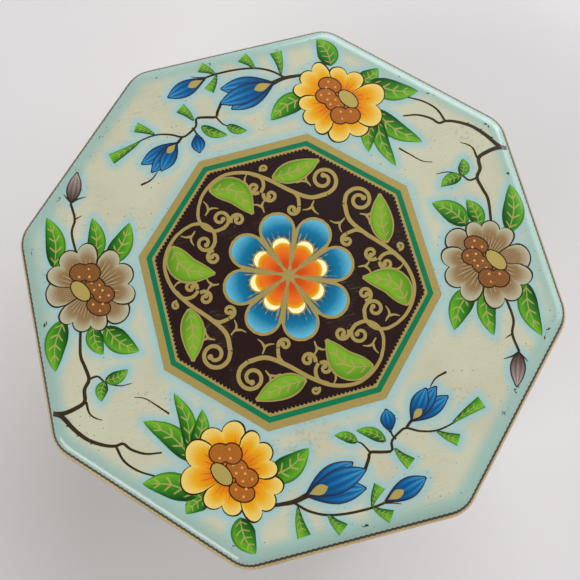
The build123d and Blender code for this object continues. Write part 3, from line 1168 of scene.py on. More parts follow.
@dataclass
class FlowerPress:
    """Draws the leaves, twigs, buds and blossoms that the lid and the sides share."""

    palette: Palette
    outline: float = 0.36
    dot: float = 0.36
    world: Matrix = field(default_factory=lambda: Matrix.Identity(4))

    def films(self, ink: str, lift: float, shapes: int = 0) -> tuple[Ink, Ink]:
        """Set the films of an outlined shape.

        Args:
            ink: the ink of its fill, which lies a little above its outline.
            lift: height of the outline above its rank.
            shapes: place in the cycle of hairs.

        Returns:
            The outline's ink and the fill's.
        """
        edge, fill = self.palette.ink("petal_outlines"), self.palette.ink(ink)
        edge.lift, fill.lift = lift, lift + OUTLINE_FILM
        edge.shapes = fill.shapes = shapes
        return edge, fill

    def leaf(self, base: Point, tip: Point, half: float, bend: float = 0.09) -> None:
        """Green leaf.

        Args:
            base: where it starts.
            tip: where it ends.
            half: its greatest half width.
            bend: how far it bends to one side, as a share of its length.
        """
        start, end = Vector(base).to_3d(), Vector(tip).to_3d()
        run = end - start
        side = Vector((run.y, -run.x, 0)) * bend
        spine = Spine([start.xy, ((start + end) / 2 + side).xy, end.xy])
        self.palette.ink("leaves").blade(spine, leaf_width(half), self.world, 6, 14)

    def wedge(self, base: Point, tip: Point, half: float) -> None:
        """Small leaf that widens to a square tip."""
        spine = Spine([base, ((base[0] + tip[0]) / 2 + 0.3, (base[1] + tip[1]) / 2), tip])
        self.palette.ink("leaves").blade(spine, lambda s: 0.2 + (half - 0.2) * s ** 0.8, self.world, 4, 8)

    def twig(self, points: Sequence[Point], start: float = 0.3, end: float = 0.16) -> None:
        """Twig through a few points, with its half width at the start and at the end."""
        spine = Spine(points)
        along = max(6, round(spine.length * 1.4))
        self.palette.ink("twigs").blade(spine, taper(start, end), self.world, 1, along)

    def petal(self, ink: str, place: Matrix, shape: Lobing, order: int) -> None:
        """Petal of a blossom, in a film of its own height, so that petals overlap cleanly.

        Args:
            ink: its ink.
            place: where the blossom stands on the plan.
            shape: the petal's shape.
            order: its place in the heap of petals.
        """
        sector = shape.spread / shape.scallops
        middle = shape.reach / (1 + 1.1 * math.sin(sector / 2))
        curve = shape.reach - middle

        def radius(side: float) -> float:
            """Distance to the scalloped edge."""
            angle = (side + 1) / 2 * shape.spread
            scallop = min(int(angle / sector), shape.scallops - 1) + 0.5
            beside = middle * math.sin(angle - scallop * sector)
            lobe = math.sqrt(middle ** 2 - beside ** 2) + math.sqrt(max(0.0, curve ** 2 - beside ** 2))
            return lobe * (1 - 0.16 * abs(side) ** 9)

        turned = place @ spot(0, 0, shape.way)
        edge, fill = self.films(ink, order * PETAL_FILM)
        edge.fan(radius, turned, shape.spread + 2.4 * self.outline / shape.reach, 36, 3, self.outline)
        fill.fan(radius, turned, shape.spread, 36, 6)

    def lobe(self, ink: str, place: Matrix, across: float, along: float, layer: int, order: int,
             dots: int) -> None:
        """Dotted seed lobe of a blossom's middle; lobes of one layer run together.

        Args:
            ink: its ink.
            place: where it stands on the plan.
            across: its half width.
            along: its half length.
            layer: its layer over the petals.
            order: its place among the lobes.
            dots: how many dots it has.
        """
        def radius(side: float) -> float:
            """Distance to the edge of the oval."""
            angle = side * math.pi
            return 1 / math.hypot(math.sin(angle) / across, math.cos(angle) / along)

        edge, fill = self.films(ink, 0.034 + layer * PETAL_FILM, order)
        dot = self.palette.ink("seed_dots")
        dot.lift = edge.lift + 2 * OUTLINE_FILM
        dot.shapes = 0
        edge.fan(radius, place, across=20, along=1, grow=self.outline)
        fill.fan(radius, place, across=20, along=4)
        for k in range(dots):
            angle = 2.1 * k + 0.9 * order
            at = Matrix.Translation((across / 2 * math.cos(angle), along / 2 * math.sin(angle), 0))
            dot.fan(lambda side: self.dot, place @ at, across=10, along=1)

    def blossom(self, place: Matrix, petals: Sequence[Lobing], petal_ink: str, lobe_ink: str) -> None:
        """Open blossom with lobed petals round a heap of dotted seed lobes.

        Args:
            place: where it stands in the motif.
            petals: its petals, from the lowest.
            petal_ink: the ink of its petals.
            lobe_ink: the ink of its seed lobes.
        """
        at = self.world @ place
        for order, shape in enumerate(petals):
            self.petal(petal_ink, at, shape, order)
        for order, (layer, dx, dy, across, along, tilt) in enumerate(SEED_LOBES):
            self.lobe(lobe_ink, at @ spot(dx, dy, tilt), across, along, layer, order, 3)
        self.lobe("seed_gold", at @ spot(2.9, -0.2, 31), 1.9, 3.4, 4, 0, 0)

    def bud(self, base: Point, tips: Sequence[Point], half: float,
            patch: float = 0.4) -> None:
        """Half-open bud: petals from one base, under a tan patch and dark sepals.

        Args:
            base: where it starts.
            tips: the tips of its petals.
            half: greatest half width of a petal.
            patch: share of its length that the tan patch covers.
        """
        middle = Vector((0, 0, 0))
        for order, tip in enumerate(tips):
            run = Vector(tip).to_3d() - Vector(base).to_3d()
            middle += run / len(tips)
            spine = Spine([base, (base[0] + run.x * 0.5, base[1] + run.y * 0.5), tip])
            edge, fill = self.films("bud_petals", order * PETAL_FILM)
            edge.blade(spine, leaf_width(half, 0.55), self.world, 4, 14, self.outline * 0.7)
            fill.blade(spine, leaf_width(half, 0.55), self.world, 6, 14)
        start = Vector(base).to_3d()
        sepal = self.palette.ink("seed_gold")
        sepal.lift = 5 * PETAL_FILM
        sepal.blade(Spine([(start + middle * 0.06).xy, (start + middle * patch).xy]),
                    leaf_width(half * 0.46, 0.6), self.world, 4, 8)
        for way, reach in ((0.5, 0.34), (-0.55, 0.3)):
            spike = Matrix.Rotation(way, 3, "Z") @ middle * reach
            self.twig([base, (start + spike * 0.5).xy, (start + spike).xy], 0.34, 0.08)


@dataclass
class FlowerBorder(FlowerPress):
    """Half of the lid's flowered border, printed twice, the second time turned half round."""

    def half(self, turn: float) -> None:
        """Print one half of the border, turned by this many degrees."""
        self.world = spot(0, 0, turn)
        self._golden_branch()
        self._taupe_branch()
        self._upper_spray()
        self._lower_spray()

    def _golden_branch(self) -> None:
        """Golden blossom, its leaves and the branch to the corner."""
        for base, tip, half in (((26.5, 56), (24.6, 65.2), 3.0), ((18, 48.6), (5.8, 44.2), 3.2),
                                ((32, 49.2), (39.2, 52), 2.6), ((35.5, 48.8), (48.2, 42.4), 3.2),
                                ((34.5, 40.5), (45, 27.6), 2.8), ((35, 38), (36, 22.6), 2.1),
                                ((34.4, 38), (29.8, 28.4), 2.2)):
            self.leaf(base, tip, half)
        self.twig([(44.5, 41.6), (48.6, 39.2), (51.6, 36), (52.9, 32)], 0.2, 0.34)
        self.twig([(42, 36.3), (46, 35.6), (49.3, 33.7), (51, 31.8), (53, 31.9), (55.8, 31), (59.5, 28.7),
                   (62.4, 25.4), (65, 21.4), (67.2, 20.2)], 0.22, 0.62)
        self.twig([(38.2, 27.4), (40.7, 24.8), (43.4, 22.2), (46, 21.2)], 0.24, 0.1)
        for x, y, way in ((51, 31.8, 150), (58.2, 29.6, 20), (61.2, 27, 10), (63.4, 24.2, -10)):
            turned = math.radians(way)
            self.twig([(x, y), (x + math.cos(turned), y + math.sin(turned))], 0.3, 0.08)
        self.blossom(spot(25.7, 45.2, 0, 0.96), GOLDEN_PETALS, "golden_petals", "golden_lobes")

    def _taupe_branch(self) -> None:
        """Taupe blossom, its leaves, its side branch and the grey bud."""
        for base, tip, half in (((50, 1.5), (42.5, 10), 3.0), ((53, 0.5), (51.8, 8.6), 2.3),
                                ((60, -3), (64.6, 9.9), 3.0), ((46.5, -15), (38.2, -24.6), 3.0),
                                ((50, -16), (47.8, -28.4), 2.5), ((60.2, -17), (59.8, -31.6), 2.7),
                                ((52.6, 15.3), (46.2, 13.9), 1.7), ((52.6, 15.4), (54.4, 20.2), 1.6)):
            self.leaf(base, tip, half)
        self.twig([(67.2, 20.2), (64.4, 20.8), (61.1, 20.3), (58.6, 19.2), (58.1, 16.2), (56.5, 13.9),
                   (57, 10.3), (57.5, 7), (56.2, 0)], 0.6, 0.34)
        self.twig([(58.2, 19.4), (58, 22.2), (56.8, 23.8), (55.1, 24.8)], 0.34, 0.1)
        self.twig([(56.5, 13.9), (54.2, 13.7), (52.6, 15.6), (49.3, 17.4), (46, 17.6)], 0.3, 0.1)
        self.twig([(53.6, -18), (54, -25.4), (52.5, -29.2), (52.8, -34)], 0.32, 0.34)
        self.twig([(52.5, -29.2), (50.4, -29.8)], 0.22, 0.08)
        self.grey_bud((52.6, -34.2), (49.5, -42.2))
        self.blossom(spot(51.7, -9.2, 0, 0.95), TAUPE_PETALS, "taupe_petals", "taupe_lobes")

    def grey_bud(self, base: Point, tip: Point) -> None:
        """Closed grey bud on a twig, with two sepals.

        Args:
            base: where it starts.
            tip: where it ends.
        """
        x, y = base
        spine = Spine([base, ((x + tip[0]) / 2, (y + tip[1]) / 2), tip])
        edge, fill = self.films("grey_buds", 0.0)
        edge.blade(spine, leaf_width(1.8, 0.45), self.world, 4, 10, self.outline * 0.7)
        fill.blade(spine, leaf_width(1.8, 0.45), self.world, 4, 10)
        self.twig([base, (x - 2.0, y - 0.5), (x - 4.2, y - 0.6)], 0.36, 0.08)
        self.twig([base, (x + 0.9, y - 1.4), (x + 1.6, y - 2.8)], 0.32, 0.08)

    def _upper_spray(self) -> None:
        """Large blue bud and the twig of small leaves above it."""
        self.twig([(17.4, 55.4), (12.6, 55.7), (9, 55)], 0.42, 0.7)
        self.bud((9.4, 55), [(-5.4, 56.9), (-3.8, 50.2), (-6.6, 52.6)], 2.7)
        self.twig([(12.6, 56), (9.6, 58.7), (5.4, 60.7), (0, 61.6), (-6, 61.7), (-10, 61.2)], 0.3, 0.3)
        self.twig([(-9, 61.4), (-11, 61.9), (-13, 62.6)], 0.22, 0.08)
        self.bud((-9.4, 61), [(-20.5, 58.1)], 2.3, 0.46)
        for base, tip, half in (((12, 57), (12.2, 64.2), 1.7), ((5.2, 60.6), (2.4, 65), 1.7),
                                ((-6, 61.7), (-9.9, 64.9), 1.6), ((-5.8, 61.4), (-8.9, 57.2), 1.5)):
            self.wedge(base, tip, half)

    def _lower_spray(self) -> None:
        """Zigzag twig with the medium and small blue buds."""
        self.twig([(-6.6, 52.4), (-8.1, 50.2), (-8.8, 48.9), (-11.5, 49.5), (-14.2, 49.8), (-14.8, 47.6),
                   (-17.5, 45.8), (-19.3, 45.4), (-22.3, 46.9), (-26.5, 47.8), (-31.3, 47), (-35, 45.6)],
                  0.42, 0.16)
        self.twig([(-8.8, 48.9), (-7.4, 46.4), (-6, 45.4)], 0.26, 0.16)
        self.twig([(-19.2, 45.4), (-20.6, 44.2), (-21.4, 43.8)], 0.34, 0.4)
        self.twig([(-16, 47.4), (-15.4, 46.4), (-15.1, 44.8)], 0.24, 0.24)
        self.twig([(-28, 37), (-30.1, 35.2), (-33.1, 34.4)], 0.14, 0.3)
        self.bud((-21, 44), [(-31.6, 40.4), (-29.4, 37.4), (-26.8, 37.2)], 2.0)
        self.bud((-15.1, 45.2), [(-15.5, 39.8)], 1.7, 0.05)
        self.wedge((-31, 46.9), (-39.6, 43.8), 1.6)
        self.wedge((-26.5, 48), (-31.2, 51.4), 1.5)
        self.wedge((-15, 49.4), (-18, 54), 1.6)
        self.leaf((-6.4, 45.8), (-1.2, 42.7), 1.3)
        self.leaf((-13.4, 47.3), (-6.8, 42.8), 1.5)


@dataclass
class Medallion:
    """Eight-sided medallion: metallic and green bands, scrolling vines, leaves and a rosette."""

    palette: Palette
    reach: float = 37.5
    turn: float = 1.1
    tooth: float = 0.52
    leaf_edge: float = 0.42

    def band(self, ink: str, outer: float, inner: float = 0.0) -> None:
        """Octagonal band, or a filled octagon.

        Args:
            ink: its ink.
            outer: distance from the axis to its outer sides.
            inner: distance to its inner sides.
        """
        def radius(side: float) -> float:
            """Distance to the octagon's edge."""
            angle = (1 - side) * math.pi
            return outer / math.cos(angle - round(angle / SECTOR) * SECTOR)

        place = spot(0, 0, self.turn)
        self.palette.ink(ink).fan(radius, place, across=SIDES * 6, along=2, inner=inner / outer)

    def scallops(self, outer: float) -> None:
        """Row of half-round teeth by which the dark ground bites into the metallic line.

        Args:
            outer: distance from the axis to the ground's sides.
        """
        side = 2 * outer * math.tan(SECTOR / 2)
        count = round(side / (2.1 * self.tooth))
        for k in range(SIDES):
            for n in range(count):
                along = (n + 0.5) / count * side - side / 2
                at = spot(0, 0, math.degrees(SECTOR) * k + self.turn) @ spot(outer - 0.02, along, -90)
                self.palette.ink("medallion_ground").fan(lambda s: self.tooth, at, math.pi, 6, 1)

    def strand(self, spine: Spine, place: Matrix, half: float, end: float, least: int = 8) -> None:
        """Strand of a vine, with its half widths at both ends and its least number of faces."""
        along = max(least, round(spine.length * 2))
        self.palette.ink("vines").blade(spine, taper(half, end), place, 1, along)

    def vine(self, points: Sequence[Point], place: Matrix, half: float, end: float) -> None:
        """Strand of a vine through a few points."""
        self.strand(Spine(points), place, half, end)

    def curl(self, centre: Point, start: float, radius: float, turns: float, place: Matrix,
             half: float = 0.5) -> None:
        """Spiral tendril that ends in a round bead.

        Args:
            centre: the middle of the spiral.
            start: the angle where it begins, in degrees.
            radius: its first radius.
            turns: how far it turns; less than 0 is clockwise.
            place: where the motif stands on the plan.
            half: half its width at the start.
        """
        spine = Spine.spiral(centre, start, (radius, radius * 0.3), turns)
        self.strand(spine, place, half, half * 0.86, 10)
        bead = place @ Matrix.Translation(spine.at(1.0)[0])
        self.palette.ink("vines").fan(lambda s: half * 1.35, bead, across=10, along=1)

    def lime_leaf(self, points: Sequence[Point], half: float, place: Matrix) -> None:
        """Lime leaf with a metallic edge, through a few points."""
        for ink, across, grow in (("leaf_edges", 4, self.leaf_edge), ("lime_leaves", 6, 0.0)):
            self.palette.ink(ink).blade(Spine(points), leaf_width(half), place, across, 16, grow)

    def tick(self, place: Matrix) -> None:
        """Small ornament: a stalk that forks into two pointed arms."""
        self.vine([(0, -1.6), (0.1, -0.6), (0, 0)], place, 0.12, 0.26)
        for side in (-1, 1):
            self.vine([(0, -0.2), (side * 0.7, 0.5), (side * 1.7, 0.9)], place, 0.28, 0.08)

    def unit(self, place: Matrix) -> None:
        """One quarter of the scrollwork.

        Args:
            place: where it stands on the plan.
        """
        self.vine([(-19.2, 24.4), (-17.4, 27.4), (-14, 30.2), (-9.6, 31.6), (-4, 30.6), (1, 27.4),
                   (6.4, 22.6), (11, 19.6), (15.6, 19.5)], place, 0.42, 0.6)
        self.curl((15.6, 23.7), -88, 4.2, 1.45, place, 0.56)
        self.vine([(-19.2, 24.4), (-19.9, 21.4), (-19, 18.4), (-16.4, 16.7), (-13.4, 17)], place, 0.42, 0.5)
        self.curl((-14.2, 19.7), -75, 2.7, 1.15, place)
        self.curl((-9.6, 18.2), 190, 2.1, -1.2, place)
        self.curl((0.7, 30.7), 205, 1.3, -0.95, place, 0.38)
        self.vine([(-3, 30), (-0.8, 28.4), (-0.6, 26), (-1.8, 24.2)], place, 0.5, 0.46)
        self.curl((-3.2, 26), -60, 1.9, -1.1, place)
        self.curl((0.6, 22.8), 150, 2.1, 1.15, place)
        self.vine([(6.8, 22.4), (7.7, 20.4), (7.4, 18)], place, 0.5, 0.46)
        self.curl((5.4, 17.5), 10, 1.9, -1.1, place)
        self.lime_leaf([(-15, 28.4), (-8.6, 26.4), (-5.4, 19.2)], 3.3, place)
        self.lime_leaf([(2.6, 27.6), (9, 28), (15.6, 29.4)], 2.8, place)
        for x, y, way in ((-5.6, 28.2, 30), (-2.6, 20.6, 10), (-16.6, 23.2, -40), (10.8, 24.6, 30),
                          (10.6, 16.6, 150)):
            self.tick(place @ spot(x, y, way, 1.35))

    @staticmethod
    def petal_width(base: float, end: float, slope: float, round_end: float) -> Outline:
        """Outline of a rosette petal: a wedge from the eye that closes in a round end.

        Args:
            base: distance from the eye's middle to its base.
            end: distance to its tip.
            slope: how fast the wedge opens.
            round_end: radius of its round end.

        Returns:
            Its half width at a share of its length.
        """
        def width(share: float) -> float:
            """Half width at a share of the length."""
            out = base + (end - base) * share
            past = max(0.0, out - (end - round_end))
            return min(slope * out, math.sqrt(max(0.0, round_end ** 2 - past ** 2)))

        return width

    def rosette(self) -> None:
        """Eight broad petals, eight small ones over them and a metallic eye."""
        shapes = (("rosette_edges", 1.6, 17.9, 0.42, 4.9), ("rosette_petals", 2.0, 17.1, 0.335, 4.15),
                  ("rosette_rims", 0.8, 10.8, 0.33, 2.75), ("rosette_inner_petals", 1.0, 10.4, 0.27, 2.35))
        for k in range(SIDES):
            at = spot(0, 0, 45 * k)
            for name, base, tip, slope, round_end in shapes:
                width = self.petal_width(base, tip, slope, round_end)
                self.palette.ink(name).blade(Spine([(0, base), (0, tip)]), width, at, 8, 44)
        self.palette.ink("rosette_eye").fan(lambda s: 2.3 + 0.8 * math.cos(8 * math.pi * s), spot(0, 0, 22.5),
                                            across=64, along=2)

    def print(self) -> None:
        """Print the whole medallion."""
        self.band("medallion_gold", self.reach)
        self.band("medallion_green", self.reach - 2.0, self.reach - 3.4)
        self.band("medallion_ground", self.reach - 4.5)
        self.scallops(self.reach - 4.5)
        mirror = Matrix(((0, 1, 0, 0), (1, 0, 0, 0), (0, 0, 1, 0), (0, 0, 0, 1)))
        for turn in (0, 180):
            self.unit(spot(0, 0, turn))
            self.unit(spot(0, 0, turn) @ mirror)
        self.rosette()


def airbrush(bm: BMesh, points: Sequence[Vector], reach: float,
             other: Callable[[Vector], float] = lambda point: math.inf) -> None:
    """Store the strength of the halo at every point of a flat coat.

    Args:
        bm: the coat, still flat.
        points: points of the motifs that it surrounds.
        reach: how far the halo spreads.
        other: distance to one more thing that has a halo.
    """
    tree = kdtree.KDTree(len(points))
    for k, point in enumerate(points):
        tree.insert((point.x, point.y, 0), k)
    tree.balance()
    layer = bm.verts.layers.float.new("halo")
    for vert in bm.verts:
        gap = tree.find((vert.co.x, vert.co.y, 0))[2]
        near = min(max(gap - 0.4, 0.0) / reach, max(other(vert.co), 0.0) / (reach * 1.5))
        vert[layer] = max(0.0, 1 - near)


def lay_coat(bm: BMesh, name: str, lay_on: Place, body: str) -> None:
    """Give a flat coat its film and lay it on the tin.

    Args:
        bm: the coat, still flat.
        name: the piece's name.
        lay_on: turns a plan point and a height over the surface into a place on the tin.
        body: the body it rides on.
    """
    raised = close_film(bm)
    for vert in bm.verts:
        under = 0.0 if vert in raised else COAT_ROOM - COAT_FILM
        vert.co = lay_on(Vector((vert.co.x, vert.co.y, 0)), under) * MM
    bmesh.ops.recalc_face_normals(bm, faces=bm.faces)
    finish_piece(bm, name, FINISH["cream_coat"], body, smooth=True)


@dataclass
class LidDecoration:
    """The lid's whole print and its cream coat with airbrushed halos."""

    halo_reach: float = 2.5
    grid_step: float = 0.7
    edge_gap: float = 0.3
    palette: Palette = field(default_factory=lambda: Palette("lid"))

    def print(self) -> None:
        """Print the border and the medallion, lay the inks and the coat under them."""
        border = FlowerBorder(self.palette)
        for turn in (0, 180):
            border.half(turn)
        self.palette.note_halos()
        medallion = Medallion(self.palette)
        medallion.print()
        self.coat(medallion)
        for name, ink in self.palette.inks.items():
            ink.lay(on_lid, FINISH[name], "lid")

    def coat(self, medallion: Medallion) -> None:
        """Cream coat over the crown and the start of the shoulder.

        Args:
            medallion: the medallion, which has a halo as well.
        """
        def gap(point: Vector) -> float:
            """Distance from a point to the medallion's sides."""
            turned = math.atan2(point.y, point.x) - math.radians(medallion.turn)
            past = turned - round(turned / SECTOR) * SECTOR
            return math.hypot(point.x, point.y) * math.cos(past) - medallion.reach

        bm = octagon_plan(TIN.coat_edge - self.edge_gap, self.grid_step)
        airbrush(bm, self.palette.halo_points, self.halo_reach, gap)
        lay_coat(bm, "lid_cream_coat", on_lid, "lid")


@dataclass
class SideDecoration(FlowerPress):
    """Sprays on the eight sides of the body, between its printed bands.

    The sides are drawn next to each other on one long plan, a fixed pitch apart.
    """

    palette: Palette = field(default_factory=lambda: Palette("side"))
    spray_height: float = 24.5
    halo_reach: float = 2.2
    coat_margin: float = 2.4

    def print(self) -> None:
        """Print the sides, in turn golden, blue and taupe, and lay the coats and the inks."""
        for k in range(SIDES):
            self.world = spot(k * SIDE_PITCH, self.spray_height)
            if k % 2:
                self._bud_spray()
            elif k % 4:
                self._blossom_spray(TAUPE_PETALS, "taupe_petals", "taupe_lobes")
            else:
                self._blossom_spray(GOLDEN_PETALS, "golden_petals", "golden_lobes")
        self.palette.note_halos()
        for k in range(SIDES):
            self.coat(k)
        for name, ink in self.palette.inks.items():
            ink.lay(on_side, FINISH[name], "tin")

    def coat(self, k: int) -> None:
        """Cream coat of one side.

        Args:
            k: number of the side, from 0.
        """
        half_width = TIN.half_run + (TIN.body_face - TIN.corner_centre) * SECTOR / 2
        half_height = TIN.side_half - self.coat_margin
        bm = bmesh.new()
        made = bmesh.ops.create_grid(bm, x_segments=62, y_segments=40, size=1)
        for vert in made["verts"]:
            vert.co = Vector((vert.co.x * half_width + k * SIDE_PITCH,
                              TIN.side_middle + vert.co.y * half_height, 0))
        airbrush(bm, self.palette.halo_points, self.halo_reach)
        lay_coat(bm, f"side_cream_coat_{k + 1}", on_side, "tin")

    def _blossom_spray(self, petals: Sequence[Lobing], petal_ink: str, lobe_ink: str) -> None:
        """Blossom with leaves and two side twigs.

        Args:
            petals: its petals, from the lowest.
            petal_ink: the ink of its petals.
            lobe_ink: the ink of its seed lobes.
        """
        for base, tip, half in (((0, 6), (-1.5, 14.2), 2.3), ((5, 4), (11.5, 9.5), 2.3),
                                ((-5, 4), (-12.5, 8), 2.4), ((5, -4), (12.5, -8.6), 2.4),
                                ((-5, -4), (-11.5, -9.6), 2.3), ((0, -6), (1.5, -14), 2.2)):
            self.leaf(base, tip, half)
        for side in (-1, 1):
            points = [(side * x, side * y) for x, y in ((8, 0.6), (13, 1.6), (17, 0.2), (21.5, 2))]
            self.twig(points, 0.34, 0.12)
            self.wedge((side * 16.6, side * 0.4), (side * 18.6, side * 5.2), 1.3)
            self.wedge((side * 16.6, side * 0.3), (side * 19.6, side * -4), 1.3)
        self.blossom(spot(0, 0, 0, 0.68), petals, petal_ink, lobe_ink)

    def _bud_spray(self) -> None:
        """Blue buds on a long twig."""
        self.twig([(-20, -6), (-12, -3.4), (-4, -3.8), (4, -1), (12, 1.4), (20, 6)], 0.36, 0.16)
        self.bud((3, -1), [(-5, 7.6), (-7.6, 3.8), (-2, 8.8)], 2.0)
        self.bud((-12, -3.4), [(-18.8, 3.2)], 1.8, 0.46)
        self.bud((12, 1.4), [(18.2, -5.4)], 1.8, 0.46)
        for base, tip, half in (((-6, -3.8), (-9.4, -10.6), 2.0), ((2, -1.6), (4, -9.4), 2.1),
                                ((9, 0.6), (10.4, 8.4), 2.0)):
            self.leaf(base, tip, half)
        for base, tip in (((-9, -3.6), (-8.6, 1)), ((15, 2.8), (14.2, 7.2)), ((-16, -4.8), (-14.6, -8.6))):
            self.wedge(base, tip, 1.2)


FINISH: dict[str, Material] = {}


# ---------------------------------------------------------------- soft finishes


@dataclass(frozen=True)
class Powder:
    """Talc, or plush, cotton or card: a matt material with a fine grain."""

    name: str
    paint: Paint
    shade: Paint
    grain: float = 0.5
    depth: float = 0.25

    def material(self) -> Material:
        """Build the finish."""
        sheet = NodeSheet(self.name)
        fine = sheet.noise(self.grain, 4)
        broad = sheet.noise(self.grain * 14, 3)
        colour = sheet.blend(self.paint, self.shade, sheet.step(0.42, 0.8, broad * 0.5 + fine * 0.5))
        return sheet.surface(colour, Roughness=0.92, Sheen_Weight=0.25, Normal=sheet.bump(fine, self.depth))


@dataclass(frozen=True)
class Weave:
    """Satin, cord or ribbon: threads that follow the piece's own patch."""

    name: str
    paint: Paint
    shade: Paint
    across: float
    along: float
    roughness: float = 0.38

    def material(self) -> Material:
        """Build the finish."""
        sheet = NodeSheet(self.name)
        u, v, _ = sheet.split(sheet.add("ShaderNodeUVMap", {"uv_map": "UVMap"}))
        warp = sheet.maths("SINE", u * (2 * math.pi * self.across))
        weft = sheet.maths("SINE", v * (2 * math.pi * self.along))
        thread = (warp + weft) * 0.25 + 0.5
        colour = sheet.blend(self.paint, self.shade, thread * 0.5 + sheet.noise(6, 3) * 0.35)
        return sheet.surface(colour, Roughness=self.roughness, Sheen_Weight=0.35,
                             Normal=sheet.bump(thread, 0.12))


@dataclass(frozen=True)
class Satin:
    """Satin of the puff's back, with the fine weft that shows as long soft streaks."""

    def material(self) -> Material:
        """Build the finish."""
        sheet = NodeSheet("satin_cloth")
        streaked = sheet.add("ShaderNodeMapping", None, {0: sheet.place(), "Scale": (1, 9, 1)})
        thread = sheet.noise(1.1, 4, streaked)
        cloud = sheet.noise(22, 3)
        shade = sheet.step(0.35, 0.75, cloud) * 0.5 + thread * 0.3
        return sheet.surface(sheet.blend(Paint.SATIN, Paint.SATIN_SHADE, shade),
                             Roughness=0.3 + thread * 0.16, Sheen_Weight=0.4, Normal=sheet.bump(thread, 0.06))


def box_mm(name: str) -> tuple[Vector, Vector]:
    """Corners of a node's box, in millimetres."""
    low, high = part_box(name)
    return Vector(low) / MM, Vector(high) / MM


def spun_shell(profile: Sequence[Point], segments: int) -> BMesh:
    """Closed round shell.

    Args:
        profile: radius and height of its points in millimetres, from the axis back to the axis.
        segments: faces round it.

    Returns:
        The mesh.
    """
    bm = bmesh.new()
    verts = [bm.verts.new((radius, 0, height)) for radius, height in profile]
    edges = [bm.edges.new(pair) for pair in zip(verts, verts[1:])]
    bmesh.ops.spin(bm, geom=verts + edges, cent=(0, 0, 0), axis=(0, 0, 1), angle=2 * math.pi, steps=segments)
    bmesh.ops.remove_doubles(bm, verts=bm.verts, dist=0.01)
    bmesh.ops.recalc_face_normals(bm, faces=bm.faces)
    return bm


def formed_grid(around: int, across: int, where: Callable[[float, float], Vector]) -> BMesh:
    """Patch with its own coordinates, formed to a shape.

    Args:
        around: faces along the patch.
        across: faces across it.
        where: the place in millimetres for a point along (-1 to 1) and across (-1 to 1) the patch.

    Returns:
        The mesh, in metres.
    """
    bm = bmesh.new()
    bm.loops.layers.uv.new("UVMap")
    made = bmesh.ops.create_grid(bm, x_segments=around, y_segments=across, size=1, calc_uvs=True)
    for vert in made["verts"]:
        vert.co = where(vert.co.x, vert.co.y) * MM
    return bm


@dataclass
class TalcFill:
    """Loose talc settled in the collar: low drifts, small clods and a rounded edge."""

    step: float = 1.1
    drift: float = 0.9
    corner_gap: float = 0.2
    panel_rise: float = 0.8
    panel_radius: float = 47.3
    slump: float = 1.8
    slump_reach: float = 4.0

    def build(self) -> None:
        """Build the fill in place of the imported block."""
        low, high = box_mm("talcum_powder")
        edge = high.x - self.corner_gap
        bm = octagon_plan(edge, self.step)
        raised = close_film(bm)
        for vert in bm.verts:
            vert.co.z = self.surface(vert.co, edge, high.z) if vert in raised else self.under(vert.co, low.z)
            vert.co *= MM
        bmesh.ops.recalc_face_normals(bm, faces=bm.faces)
        piece = finish_piece(bm, "talc_fill", FINISH["talc"], "tin", smooth=True)
        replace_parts(piece, "talcum_powder")

    def surface(self, point: Vector, edge: float, top: float) -> float:
        """Height of the powder.

        Args:
            point: a point of the plan.
            edge: distance from the axis to the fill's sides.
            top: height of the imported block.

        Returns:
            The height at the point.
        """
        flat = Vector((point.x, point.y, 0))
        drifts = noise.noise(flat * 0.045) * self.drift + noise.noise(flat * 0.16) * 0.35
        clods = max(0.0, noise.noise(flat * 0.7) - 0.25) * 1.3 + noise.noise(flat * 1.7) * 0.12
        distance, _ = TIN.fold(flat)
        slump = max(0.0, 1 - (edge - distance) / self.slump_reach) ** 2 * self.slump
        return top - 0.9 + drifts * 0.6 + clods - slump

    def under(self, point: Vector, bottom: float) -> float:
        """Height of the underside, over the step pressed in the base."""
        return bottom + (self.panel_rise if math.hypot(point.x, point.y) < self.panel_radius else 0.0)


